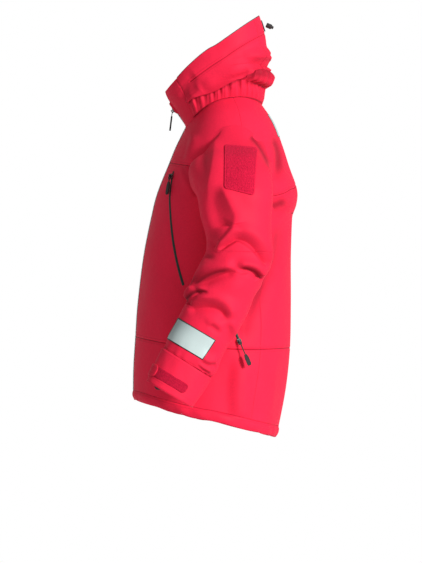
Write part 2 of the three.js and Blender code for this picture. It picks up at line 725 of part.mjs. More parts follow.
// A pull: a wire eye through the crown, a cord, and a moulded grip. It hangs down from the eye.
function pullBody(cordLength, gripLength, gripWidth) {
  const pin = new THREE.CylinderGeometry(PIN_RADIUS, PIN_RADIUS, 6.4, 10).rotateZ(Math.PI / 2);
  const arms = [-2.6, 2.6].map((x) =>
    new THREE.BoxGeometry(1.2, 1.6, 8.6).translate(x, 0, -3.6),
  );
  const bar = new THREE.BoxGeometry(6.4, 1.6, 2).translate(0, 0, -7.6);
  const cord = new THREE.BoxGeometry(2.4, 1.6, cordLength).translate(0, 0, -8 - cordLength / 2);
  const half = gripWidth / 2;
  const outline = new THREE.Shape()
    .moveTo(-half * 0.6, 0)
    .lineTo(half * 0.6, 0)
    .lineTo(half, -gripLength * 0.25)
    .lineTo(half * 1.05, -gripLength * 0.85)
    .lineTo(half * 0.7, -gripLength)
    .lineTo(-half * 0.7, -gripLength)
    .lineTo(-half * 1.05, -gripLength * 0.85)
    .lineTo(-half, -gripLength * 0.25);
  const grip = new THREE.ExtrudeGeometry(outline, { depth: 3.6, bevelEnabled: false });
  grip.rotateX(Math.PI / 2).rotateX(-Math.PI / 2).translate(0, 0, -1.8);
  grip.rotateX(Math.PI / 2).translate(0, 0, -7 - cordLength);
  return joined(pin, ...arms, bar, cord, grip);
}

function frameGroup(name, place, side, out, up) {
  const group = new THREE.Group();
  group.name = name;
  group.position.copy(place);
  group.quaternion.setFromRotationMatrix(new THREE.Matrix4().makeBasis(side, out, up));
  jacket.add(group);
  return group;
}

// A slider on the zip and its pull, tipped from the cloth by lean degrees.
function makeSlider(name, { place, side, out, up }, lift, pull, lean) {
  const ride = frameGroup(`${name}_slider_frame`, place.clone().addScaledVector(out, lift), side, out, up);
  add(`${name}_slider`, sliderBody(), zipMetal, ride);
  const pivot = new THREE.Group();
  pivot.name = `${name}_pull_frame`;
  pivot.position.set(0, SLIDER.thick + SLIDER.crown / 2, 0);
  pivot.rotation.x = lean * DEG;
  ride.add(pivot);
  add(`${name}_pull`, pull, gripRubber, pivot);
}

const ZIP_TOP = ZIP_SINK + POCKET_ZIP_THICK; // outer face of a pocket zip
const HAND_PULL_LEAN = 12; // degrees: the hand pocket's pull rests on the flare of the skirt
const SLIDER_LIFT = 1.5; // between a pocket zip and its slider, which passes over the cloth beside it

function mirroredFrame({ place, out, up }) {
  const flip = (v) => new THREE.Vector3(-v.x, v.y, v.z);
  const [outFlip, upFlip] = [flip(out), flip(up)];
  return { place: flip(place), out: outFlip, up: upFlip, side: outFlip.clone().cross(upFlip) };
}

function makePocketSliders() {
  const chest = arcFrame(CHEST_ZIP, 0.05);
  const hand = arcFrame(HAND_ZIP, 0.95);
  const lift = ZIP_TOP + SLIDER_LIFT;
  for (const [side, frameOf] of [["left", (f) => f], ["right", mirroredFrame]]) {
    makeSlider(`${side}_chest_zip`, frameOf(chest), lift, pullBody(9, 30, 8), 0);
    makeSlider(`${side}_hand_zip`, frameOf(hand), lift, pullBody(26, 26, 9), HAND_PULL_LEAN);
  }
}

function makeMainSlider() {
  const { place, up, out } = frontFrame(shareAtHeight(-8));
  const side = out.clone().cross(up);
  makeSlider("main_zip", { place, side, out, up }, 0.5 + SKIN_GAP, pullBody(4, 32, 7.4), 44);
}

// ---------- pockets behind the zips ----------
// A pocket bag lies on the inside of the front panel and bellies away from the zip that opens into it.
const BAG = { thick: 1.6, depth: 12 };
const HAND_BAG_DROP = 0.6; // extra room behind the waist seam, which the hand pocket crosses

function makePockets() {
  const bag = {
    ...FRONT_PANEL, inner: -CLOTH - SKIN_GAP - BAG.thick, outer: -CLOTH - SKIN_GAP, bulge: BAG.depth,
  };
  const { across, along } = FRONT_PANEL;
  const chest = panel(BODY, {
    ...bag, window: [1 / across, 7 / across, 1 / along, 1], across: 6, along: 8,
  });
  addPair("chest_pocket_bag", without(chest, armholeCutter), liningFabric);
  const hand = panel(BODY, {
    ...bag, outer: bag.outer - HAND_BAG_DROP, inner: bag.inner - HAND_BAG_DROP,
    window: [8 / across, 11 / across, -1 / along, 4 / along], across: 3, along: 5,
  });
  addPair("hand_pocket_bag", hand, liningFabric);
  addPair("chest_zip", pocketZip(CHEST_ZIP), zipTape);
  addPair("hand_zip", pocketZip(HAND_ZIP), zipTape);
}

// ---------- back reflector and hang loop ----------
function makeBackReflector() {
  const reach = (mm) => mm / 180 / DEG; // the back's radius of curvature is about 180
  const tape = panel(BODY, {
    inner: SKIN_GAP, outer: SKIN_GAP + TAPE.thick, from: 180 - reach(TAPE_LENGTH / 2),
    to: 180 + reach(TAPE_LENGTH / 2), low: 10.25, high: 11.3, across: 6, along: 4, trim: 0,
  });
  add("back_reflector", tape, reflective);
}

// A U of ribbon, sewn by its two ends to the inner collar, with its lowest point at the origin.
function makeHangLoop() {
  const back = HOOD[0].rear - 2 * CLOTH - SKIN_GAP - 2.2;
  const arch = new THREE.Shape().absarc(0, 0, 26, 0, Math.PI).absarc(0, 0, 20, Math.PI, 0, true);
  const ribbon = new THREE.ExtrudeGeometry(arch, { depth: 1.4, bevelEnabled: false, curveSegments: 8 });
  ribbon.rotateX(-Math.PI / 2).scale(1, 1, LOOP_LIFT / 26).translate(0, back - 1.4, LOOP_LIFT);
  add("hang_loop", facingOut(mergeVertices(bare(ribbon))), liningFabric);
}

makeBody();
makeHem();
makeCollarAndHood();
makeBinding();
makeHoodAdjuster();
makeMainZip();
makeMainSlider();
makePockets();
makePocketSliders();
makeSleeve();
makeCuffTrim();
makeBadgePatch();
makeBackReflector();
makeHangLoop();

export default jacket;
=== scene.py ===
import math
import bmesh
import bpy
import numpy as np
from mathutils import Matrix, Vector
from mathutils.bvhtree import BVHTree


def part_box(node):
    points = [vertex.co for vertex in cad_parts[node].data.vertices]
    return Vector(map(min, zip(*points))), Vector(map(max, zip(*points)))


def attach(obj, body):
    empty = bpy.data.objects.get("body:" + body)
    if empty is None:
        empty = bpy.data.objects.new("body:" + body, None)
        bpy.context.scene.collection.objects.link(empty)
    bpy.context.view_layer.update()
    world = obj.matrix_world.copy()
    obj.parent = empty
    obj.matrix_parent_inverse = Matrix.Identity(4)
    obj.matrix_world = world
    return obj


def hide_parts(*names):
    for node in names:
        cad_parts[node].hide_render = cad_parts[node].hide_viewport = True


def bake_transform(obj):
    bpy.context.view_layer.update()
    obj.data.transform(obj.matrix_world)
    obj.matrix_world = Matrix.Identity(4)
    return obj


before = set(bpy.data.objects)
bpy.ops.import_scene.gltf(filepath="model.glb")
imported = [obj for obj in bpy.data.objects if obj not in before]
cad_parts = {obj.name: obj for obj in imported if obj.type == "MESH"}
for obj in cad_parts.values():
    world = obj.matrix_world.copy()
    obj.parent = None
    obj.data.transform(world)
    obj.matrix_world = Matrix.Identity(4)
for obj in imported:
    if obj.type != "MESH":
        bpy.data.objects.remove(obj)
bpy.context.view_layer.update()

# Lengths are worked out in millimetres and become metres when a mesh is made. +Z up, front -Y, left +X.
MM = 0.001
DEG = math.pi / 180
random = np.random.default_rng(11)
NO_SEAM = 50.0  # the distance to a seam that stands for none near by, mm


def placed(name, data):
    """Puts a mesh, lamp or camera into the scene."""
    thing = bpy.data.objects.new(name, data)
    bpy.context.collection.objects.link(thing)
    return thing


# ---------------------------------------------------------------- camera, light, floor
FRAME_SIZE = 1238.6  # mm across the view's long side
FRAME_CENTRE = (-104.8, -386.1)  # y and z at the middle of the view, mm
CAMERA_AWAY, CAMERA_SEES = 4.0, 30  # metres
camera_data = bpy.data.cameras.new("camera")
camera_data.type = "ORTHO"
camera_data.ortho_scale = FRAME_SIZE * MM
camera_data.clip_end = CAMERA_SEES
camera = placed("camera", camera_data)
camera.location = (CAMERA_AWAY, FRAME_CENTRE[0] * MM, FRAME_CENTRE[1] * MM)
camera.rotation_euler = (math.pi / 2, 0, math.pi / 2)
bpy.context.scene.camera = camera
bpy.context.scene.view_settings.view_transform = "Standard"


def sun(name, towards_light, strength, softness):
    data = bpy.data.lights.new(name, "SUN")
    data.energy = strength
    data.angle = softness * DEG
    lamp = placed(name, data)
    lamp.rotation_mode = "QUATERNION"
    lamp.rotation_quaternion = Vector(towards_light).to_track_quat("Z", "Y")


sun("key", towards_light=(0.66, 0.68, 0.32), strength=3.8, softness=15)
SKY_STRENGTH = 0.37

world = bpy.data.worlds.new("studio")
bpy.context.scene.world = world
world.use_nodes = True
sky = world.node_tree.nodes
sky["Background"].inputs["Color"].default_value = (1, 1, 1, 1)
sky["Background"].inputs["Strength"].default_value = SKY_STRENGTH
shown = sky.new("ShaderNodeBackground")
shown.inputs["Color"].default_value = (1, 1, 1, 1)
path = sky.new("ShaderNodeLightPath")
choose = sky.new("ShaderNodeMixShader")
link = world.node_tree.links.new
link(path.outputs["Is Camera Ray"], choose.inputs["Fac"])
link(sky["Background"].outputs[0], choose.inputs[1])
link(shown.outputs[0], choose.inputs[2])
link(choose.outputs[0], sky["World Output"].inputs["Surface"])

# ---------------------------------------------------------------- materials
def new_material(name, color, roughness, metallic=0.0, sheen=0.0):
    m = bpy.data.materials.new(name)
    m.use_nodes = True
    m.diffuse_color = (*color, 1)
    shader = m.node_tree.nodes["Principled BSDF"]
    shader.inputs["Base Color"].default_value = (*color, 1)
    shader.inputs["Roughness"].default_value = roughness
    shader.inputs["Metallic"].default_value = metallic
    shader.inputs["Specular IOR Level"].default_value = 0.3
    if sheen:
        shader.inputs["Specular IOR Level"].default_value = 0.10
        shader.inputs["Sheen Weight"].default_value = sheen
        shader.inputs["Sheen Tint"].default_value = (1.0, 0.10, 0.20, 1)
    return m


class Nodes:
    """Short names for adding shader nodes to one material."""

    def __init__(self, material):
        self.tree = material.node_tree
        self.shader = self.tree.nodes["Principled BSDF"]

    def add(self, kind, **values):
        node = self.tree.nodes.new("ShaderNode" + kind)
        for key, value in values.items():
            if hasattr(node, key) and key not in node.inputs:
                setattr(node, key, value)
                continue
            self.set(node, key.replace("_", " ") if key not in node.inputs else key, value)
        return node

    def set(self, node, socket, value):
        target = node.inputs[socket]
        if isinstance(value, bpy.types.NodeSocket):
            self.tree.links.new(value, target)
        else:
            target.default_value = value

    def coords(self, kind="Object"):
        return self.add("TexCoord").outputs[kind]

    def attribute(self, name):
        return self.add("Attribute", attribute_name=name).outputs["Fac"]

    def math(self, operation, a, b=0.0, clamp=False):
        node = self.add("Math", operation=operation, use_clamp=clamp)
        self.set(node, 0, a)
        self.set(node, 1, b)
        return node.outputs[0]

    def ramp(self, value, low, high, out_low=0.0, out_high=1.0):
        node = self.add("MapRange", interpolation_type="SMOOTHSTEP")
        ends = {"Value": value, "From Min": low, "From Max": high, "To Min": out_low, "To Max": out_high}
        for socket, v in ends.items():
            self.set(node, socket, v)
        return node.outputs[0]

    def noise(self, scale, detail=3.0, where=None, roughness=0.55):
        node = self.add("TexNoise", Scale=scale, Detail=detail, Roughness=roughness)
        self.set(node, "Vector", where if where is not None else self.coords())
        return node.outputs["Fac"]

    def mix(self, factor, a, b, blend="MIX"):
        node = self.add("Mix", data_type="RGBA", blend_type=blend)
        for index, value in ((0, factor), (6, a), (7, b)):
            if isinstance(value, bpy.types.NodeSocket):
                self.tree.links.new(value, node.inputs[index])
            else:
                node.inputs[index].default_value = value
        return node.outputs[2]

    def bump(self, height, strength, distance, before=None):
        node = self.add("Bump", Strength=strength, Distance=distance, Height=height)
        if before is not None:
            self.set(node, "Normal", before)
        return node.outputs[0]

    def tint(self, color, tone):
        """Makes the base colour lighter or darker by tone."""
        scaled = self.add("VectorMath", operation="SCALE")
        self.set(scaled, 0, color)
        self.set(scaled, "Scale", tone)
        self.set(self.shader, "Base Color", scaled.outputs[0])


def weave_height(n, pitch_mm):
    """Plain weave in the mesh's own UV, which is in millimetres along the cloth."""
    uv = n.coords("UV")
    split = n.add("SeparateXYZ", Vector=uv)
    k = math.pi / pitch_mm
    across = n.math("SINE", n.math("MULTIPLY", split.outputs[0], k))
    along = n.math("SINE", n.math("MULTIPLY", split.outputs[1], k))
    return n.math("MULTIPLY", across, along)


STITCH_ROW = 5.5  # how far the row of stitches lies from its seam, mm


def shell_fabric(name, red, seam_dark=0.5, weave=0.25, roughness=0.62):
    m = new_material(name, red, roughness, sheen=0.12)
    n = Nodes(m)
    broad = n.noise(9.0, 4.0)
    fine = n.noise(260.0, 3.0)
    speckle = n.ramp(fine, 0.3, 0.7, -0.035, 0.035)
    tone = n.math("ADD", n.ramp(broad, 0.3, 0.7, 0.95, 1.04), speckle)
    # painted shade: the per-vertex shade darkens the red in folds, creases and under overlapping cloth
    tone = n.math("MULTIPLY", tone, n.attribute("shade"))
    seam = n.attribute("seam")
    line = n.ramp(seam, 0.35, 1.25, seam_dark, 1.0)
    stitch_row = n.ramp(n.math("ABSOLUTE", n.math("SUBTRACT", seam, STITCH_ROW)), 0.25, 0.8, 0.80, 1.0)
    tone = n.math("MULTIPLY", n.math("MULTIPLY", tone, line), stitch_row)
    n.tint(red, tone)
    n.set(n.shader, "Roughness", n.ramp(broad, 0.3, 0.7, roughness - 0.05, roughness + 0.06))
    crumple = n.bump(n.noise(55.0, 5.0, roughness=0.6), 0.35, 0.0016)
    threads = n.bump(weave_height(n, 1.1), weave, 0.00012, crumple)
    stitches = n.math("SUBTRACT", 1.0, stitch_row)
    n.set(n.shader, "Normal", n.bump(stitches, 0.5, 0.0008, threads))
    return m


def pile_fabric(name, red):
    m = new_material(name, red, 0.95, sheen=0.15)
    n = Nodes(m)
    tufts = n.add("TexVoronoi", Scale=620.0, Vector=n.coords())
    clumps = n.noise(330.0, 4.0, roughness=0.7)
    depth = tufts.outputs["Distance"]
    # the clumps vary the pile's own tone at random; lighter on the tufts and darker in the gaps between them is
    # painted light and shade
    tone = n.math("MULTIPLY", n.ramp(clumps, 0.25, 0.75, 0.76, 1.16), n.ramp(depth, 0.0, 0.8, 1.1, 0.75))
    tone = n.math("MULTIPLY", tone, n.attribute("shade"))
    n.tint(red, tone)
    n.set(n.shader, "Normal", n.bump(clumps, 0.9, 0.0015, n.bump(depth, 0.6, 0.0008)))
    return m


def lining(name, color):
    m = new_material(name, color, 0.8)
    n = Nodes(m)
    spots = n.add("TexVoronoi", Scale=420.0, Vector=n.coords())
    darker = tuple(c * 0.5 for c in color)
    spotted = n.mix(n.ramp(spots.outputs["Distance"], 0.1, 0.5), (*darker, 1), (*color, 1))
    n.set(n.shader, "Base Color", spotted)
    n.set(n.shader, "Normal", n.bump(weave_height(n, 1.6), 0.4, 0.0002))
    return m


CELL_PITCH = 2.6  # between the film's reflecting cells, mm


def reflective_film(name):
    m = new_material(name, (0.42, 0.50, 0.50), 0.42)
    n = Nodes(m)
    u, v = n.add("SeparateXYZ", Vector=n.coords("UV")).outputs[:2]
    k = math.pi / CELL_PITCH
    a, b = (n.math("SINE", n.math("MULTIPLY", n.math(way, u, v), k)) for way in ("ADD", "SUBTRACT"))
    cells = n.math("MULTIPLY", a, b)
    # painted sheen: the film's grey grows lighter along its length, standing in for reflected light
    sheen = n.ramp(u, 15.0, 90.0, 0.0, 1.0)
    base = n.mix(sheen, (0.29, 0.36, 0.36, 1), (0.46, 0.55, 0.54, 1))
    film = n.mix(n.ramp(cells, -0.25, 0.25, 0.0, 0.30), base, (0.62, 0.70, 0.69, 1))
    inside_rim = n.ramp(n.attribute("shade"), 0.4, 0.6)
    n.set(n.shader, "Base Color", n.mix(inside_rim, (0.02, 0.022, 0.022, 1), film))
    n.set(n.shader, "Roughness", n.ramp(cells, -0.3, 0.3, 0.35, 0.55))
    n.set(n.shader, "Normal", n.bump(cells, 0.3, 0.0002))
    return m


def hard_surface(name, color, roughness, metallic=0.0, grain=300.0, wear=(0.02, 0.02, 0.02)):
    m = new_material(name, color, roughness, metallic)
    n = Nodes(m)
    grime = n.noise(grain, 4.0)
    worn = tuple(min(1.0, c + w) for c, w in zip(color, wear))
    n.set(n.shader, "Base Color", n.mix(n.ramp(grime, 0.45, 0.65), (*color, 1), (*worn, 1)))
    n.set(n.shader, "Roughness", n.ramp(grime, 0.3, 0.7, roughness - 0.08, roughness + 0.1))
    n.set(n.shader, "Normal", n.bump(grime, 0.15, 0.0002))
    return m


RED = (0.80, 0.0160, 0.0560)
shell_red = shell_fabric("shell_fabric", RED)
trim_red = shell_fabric("trim_fabric", (0.77, 0.0150, 0.0530), seam_dark=0.55, weave=0.35)
pile_red = pile_fabric("pile_fabric", (0.76, 0.0110, 0.0560))
dark_lining = lining("lining_fabric", (0.045, 0.048, 0.052))
zip_dark = hard_surface("zip_tape", (0.012, 0.030, 0.026), 0.5, grain=500.0)
zip_teeth = hard_surface("zip_teeth", (0.016, 0.020, 0.020), 0.35, grain=800.0)
zip_metal = hard_surface("zip_metal", (0.055, 0.058, 0.058), 0.30, 0.9, 700.0, (0.35, 0.35, 0.34))
grip_rubber = hard_surface("grip_rubber", (0.026, 0.024, 0.023), 0.62, grain=420.0)
cord_black = hard_surface("cord", (0.012, 0.012, 0.012), 0.8, grain=900.0)
reflective = reflective_film("reflective")
SLOT = {
    "shell_fabric": shell_red, "trim_fabric": trim_red, "pile_fabric": pile_red, "lining_fabric": dark_lining,
    "zip_tape": zip_dark, "zip_metal": zip_metal, "grip_rubber": grip_rubber, "reflective": reflective,
    "cord": cord_black,
}

# ---------------------------------------------------------------- meshes from grids
def unit(v):
    return v / np.maximum(np.linalg.norm(v, axis=-1, keepdims=True), 1e-9)


def grid_normals(p):
    """Normals of an n by m grid of points; they point along du x dv."""
    return unit(np.cross(np.gradient(p, axis=0), np.gradient(p, axis=1)))


def grid_lengths(p):
    """Distance along each line of the grid, in both directions."""
    def run(axis):
        step = np.linalg.norm(np.diff(p, axis=axis), axis=-1)
        pad = [(0, 0), (0, 0)]
        pad[axis] = (1, 0)
        return np.pad(np.cumsum(step, axis=axis), pad)
    return run(0), run(1)


def add_values(mesh, values):
    """Numbers for the materials, one to each vertex."""
    count = len(mesh.vertices)
    plain = {"shade": np.ones(count), "seam": np.full(count, NO_SEAM)}
    for key, value in {**plain, **values}.items():
        layer = mesh.attributes.new(key, "FLOAT", "POINT")
        layer.data.foreach_set("value", np.asarray(value, dtype=np.float32).ravel())


def square_grid(across, across_count, up, up_count):
    """Two grids of evenly spaced values, the first rising across and the second upward."""
    return np.meshgrid(np.linspace(*across, across_count), np.linspace(*up, up_count), indexing="ij")


def make_mesh(name, verts, faces, materials, face_material=None, values=None, uv=None, smooth=True):
    mesh = bpy.data.meshes.new(name)
    faces = np.asarray(faces, dtype=np.int32)
    corners = faces.shape[1]
    mesh.vertices.add(len(verts))
    metre = (np.asarray(verts, dtype=np.float64) * MM).astype(np.float32)
    mesh.vertices.foreach_set("co", metre.ravel())
    mesh.loops.add(faces.size)
    mesh.loops.foreach_set("vertex_index", faces.ravel())
    mesh.polygons.add(len(faces))
    mesh.polygons.foreach_set("loop_start", np.arange(0, faces.size, corners, dtype=np.int32))
    mesh.polygons.foreach_set("loop_total", np.full(len(faces), corners, dtype=np.int32))
    mesh.update(calc_edges=True)
    mesh.polygons.foreach_set("use_smooth", np.full(len(faces), smooth))
    if face_material is not None:
        mesh.polygons.foreach_set("material_index", np.asarray(face_material, dtype=np.int32))
    add_values(mesh, values or {})
    if uv is not None:
        layer = mesh.uv_layers.new(name="UVMap")
        layer.data.foreach_set("uv", np.asarray(uv, dtype=np.float32)[faces.ravel()].ravel())
    for material in materials:
        mesh.materials.append(material)
    mesh.validate()
    return placed(name, mesh)


def closed_shell(quads, count):
    """Outer quads, the same quads count vertices on as the inner face, and a wall on every open edge."""
    edges = np.concatenate([quads[:, [k, (k + 1) % 4]] for k in range(4)])
    edges = edges[edges[:, 0] != edges[:, 1]]
    code = edges[:, 0].astype(np.int64) * count + edges[:, 1]
    back = edges[:, 1].astype(np.int64) * count + edges[:, 0]
    a, b = edges[~np.isin(code, back)].T
    walls = np.stack([b, a, a + count, b + count], axis=-1)
    return np.concatenate([quads, quads[:, ::-1] + count, walls])


def grid_quads(index):
    """The four corners of each cell in a grid of vertex numbers."""
    return np.stack([index[:-1, :-1], index[1:, :-1], index[1:, 1:], index[:-1, 1:]], axis=-1)


def cloth(name, p, normals, thick, materials, shade=None, seam=None, flip=False, mask=None, wrap=False):
    """A closed piece of cloth: the grid p is its outer face, and its inner face lies thick below."""
    n, m = p.shape[:2]
    index = np.arange(n * m).reshape(n, m)
    if wrap:
        index[-1] = index[0]
    quads = grid_quads(index)
    quads = quads.reshape(-1, 4) if mask is None else quads[mask]
    if flip:
        quads = quads[:, ::-1]
    faces = closed_shell(quads, n * m)
    kinds = np.zeros(len(faces), dtype=np.int32)
    kinds[len(quads):2 * len(quads)] = min(1, len(materials) - 1)
    depth = np.broadcast_to(np.asarray(thick, dtype=float), (n, m))[..., None]
    verts = np.concatenate([p.reshape(-1, 3), (p - normals * depth).reshape(-1, 3)])
    su, sv = grid_lengths(p)
    uv = np.tile(np.stack([su, sv], axis=-1).reshape(-1, 2), (2, 1))
    shade = np.ones((n, m)) if shade is None else shade
    seam = np.full((n, m), NO_SEAM) if seam is None else seam
    used, renumbered = np.unique(faces, return_inverse=True)
    faces = renumbered.reshape(faces.shape)
    values = {"shade": np.tile(shade.ravel(), 2)[used], "seam": np.tile(seam.ravel(), 2)[used]}
    return make_mesh(name, verts[used], faces, materials, kinds, values, uv[used])


# ---------------------------------------------------------------- folds, as heights over the side view
def between(a, b, c, d, f):
    """The Catmull-Rom curve from b (f = 0) to c (f = 1); a comes before them and d after."""
    return b + 0.5 * f * (c - a + f * (2 * a - 5 * b + 4 * c - d + f * (3 * (b - c) + d - a)))


def smooth_line(points, count=48):
    """A Catmull-Rom curve through given points (y, z, and any more columns)."""
    p = np.asarray(points, dtype=float)
    if len(p) == 2:
        t = np.linspace(0, 1, count)[:, None]
        return p[0] + (p[1] - p[0]) * t
    p = np.vstack([2 * p[0] - p[1], p, 2 * p[-1] - p[-2]])
    at = np.linspace(0, len(p) - 3, count)
    i = np.minimum(at.astype(int), len(p) - 4)
    f = (at - i)[:, None]
    a, b, c, d = p[i], p[i + 1], p[i + 2], p[i + 3]
    return between(a, b, c, d, f)


def ease(x):
    x = np.clip(x, 0, 1)
    return x * x * (3 - 2 * x)


class Relief:
    """Heights, and painted shade that darkens the colour, over a set of places, each given by two flat coordinates.
    """

    def __init__(self, u, v):
        self.u, self.v = u, v
        self.height = np.zeros_like(u)
        self.shade = np.ones_like(u)
        self.seam = np.full_like(u, NO_SEAM)

    def near(self, points, reach):
        line = smooth_line(points)
        lo, hi = line[:, :2].min(0) - reach, line[:, :2].max(0) + reach
        inside = (self.u > lo[0]) & (self.u < hi[0]) & (self.v > lo[1]) & (self.v < hi[1])
        where = np.nonzero(inside)
        q = np.stack([self.u[where], self.v[where]], axis=-1)
        a, b = line[:-1, :2], line[1:, :2]
        ab = b - a
        t = np.clip(((q[:, None] - a) * ab).sum(-1) / np.maximum((ab * ab).sum(-1), 1e-9), 0, 1)
        gap = q[:, None] - (a + ab * t[..., None])
        far = (gap * gap).sum(-1)
        k = far.argmin(1)
        rows = np.arange(len(q))
        d = np.sqrt(far[rows, k])
        cross = ab[k, 0] * gap[rows, k, 1] - ab[k, 1] * gap[rows, k, 0]
        along = (k + t[rows, k]) / len(a)
        return where, np.where(cross >= 0, d, -d), along

    @staticmethod
    def fade(along, ends):
        start, stop = ends
        rise = ease(along / start) if start > 0 else 1.0
        fall = ease((1 - along) / stop) if stop > 0 else 1.0
        return rise * fall

    def fold(self, points, half, height, up=18.0, down=18.0, ends=(0.25, 0.25), painted_shade=0.0, crisp=""):
        """A slope across the line, high on its left and low on its right; its top or foot may be crisp. It may also
        paint shade into the colour along its line.
        """
        where, s, along = self.near(points, 2.6 * max(up, down) + max(np.atleast_1d(half)))
        b = np.interp(along, np.linspace(0, 1, len(np.atleast_1d(half))), np.atleast_1d(half))
        t = np.clip((s / b + 1) / 2, 0, 1)
        if crisp == "top":
            inside = 2 * t ** 1.7 - 1
        elif crisp == "foot":
            inside = 1 - 2 * (1 - t) ** 1.7
        else:
            inside = np.sin((t - 0.5) * math.pi)
        above = np.exp(-(np.maximum(s - b, 0) / up) ** 2)
        below = np.exp(-(np.maximum(-s - b, 0) / down) ** 2)
        w = self.fade(along, ends)
        self.height[where] += height * inside * above * below * w
        # painted shade along the fold
        if painted_shade:
            self.shade[where] *= 1 - painted_shade * np.exp(-(s / (b * 1.1)) ** 2) * w

    def groove(self, points, width, depth, ends=(0.15, 0.15), painted_shade=0.0):
        where, s, along = self.near(points, 4 * width)
        w = self.fade(along, ends) * np.exp(-(s / width) ** 2)
        self.height[where] -= depth * w
        # painted shade along the groove
        self.shade[where] *= 1 - painted_shade * w

    def bump(self, centre, size, height, turn=0.0, painted_shade=0.0):
        c, s = math.cos(turn * DEG), math.sin(turn * DEG)
        du, dv = self.u - centre[0], self.v - centre[1]
        a, b = (du * c + dv * s) / size[0], (-du * s + dv * c) / size[1]
        w = np.exp(-(a * a + b * b))
        self.height += height * w
        # painted shade over the bump
        self.shade *= 1 - painted_shade * w

    def stitch(self, points, groove=0.7, offset=0.0):
        """A seam line: a shallow groove, and the distance to it for the material."""
        where, s, along = self.near(points, 14)
        inside = (along > 0.004) & (along < 0.996)
        d = np.where(inside, np.abs(s - offset), NO_SEAM)
        self.seam[where] = np.minimum(self.seam[where], d)
        self.height[where] -= np.where(inside, groove * np.exp(-(d / 1.8) ** 2), 0)


# ---------------------------------------------------------------- the body's sections
# Heights at the front, side and back, half width, and reach forward and back, from the hem up.
BODY = np.array([
    (-644, -690, -727, 212, -274, 38), (-624, -668, -704, 214, -275, 44), (-570, -600, -620, 214, -274, 60),
    (-508, -533, -532, 208, -270, 69), (-435, -435, -435, 200, -265, 71), (-330, -330, -330, 193, -252, 71),
    (-240, -240, -240, 188, -234, 74), (-190, -200, -235, 186, -221, 75), (-125, -150, -190, 183, -195, 82),
    (-95, -90, -130, 177, -183, 66), (-74, -48, -80, 160, -173, 50), (-58, -10, -35, 130, -165, 32),
    (-44, 20, 4, 88, -158, 6),
], dtype=float)
HEM_TOP, WAIST, YOKE, NECKLINE = 1, 3, 8, 12
SHOULDER_SEAM, SIDE_SEAM = 100.0, 125.0
ROUND = 2.3  # how square the sections are: 2 is an ellipse
FRONT_EDGE = 5.4  # half the gap between the two fronts
DRAWN = 8.0  # the folds and sleeves are drawn in side view from an origin this far in front of the hang loop


def rows_at(rows, at):
    last = len(rows) - 1
    i = np.clip(np.floor(at).astype(int), 0, last - 1)
    f = (at - i)[..., None]
    a, b = rows[np.maximum(i - 1, 0)], rows[i]
    c, d = rows[i + 1], rows[np.minimum(i + 2, last)]
    return between(a, b, c, d, f)


def on_section(s, angle):
    """Places at each angle round the sections s, whose columns are BODY's: 0 in front, 180 behind."""
    front, side, back, half, forward, rear = (s[..., k] for k in range(6))
    c, n = np.cos(angle * DEG), np.sin(angle * DEG)
    power = 2 / ROUND
    x = half * np.sign(n) * np.abs(n) ** power
    y = (forward + rear) / 2 - (rear - forward) / 2 * np.sign(c) * np.abs(c) ** power
    z = side + (front - back) / 2 * c + ((front + back) / 2 - side) * c * c
    return np.stack([x, y, z], axis=-1)


def surface(rows, angle, at):
    return on_section(rows_at(rows, at), angle)


def edge_angle(rows, at, width=FRONT_EDGE):
    return np.arcsin((width / rows_at(rows, at)[..., 3]) ** (ROUND / 2)) / DEG


def pieced(marks, counts):
    """Values that run through the marks, with counts steps between each two."""
    parts = [np.linspace(a, b, c + 1)[:-1] for a, b, c in zip(marks[:-1], marks[1:], counts)]
    return np.concatenate(parts + [[marks[-1]]])


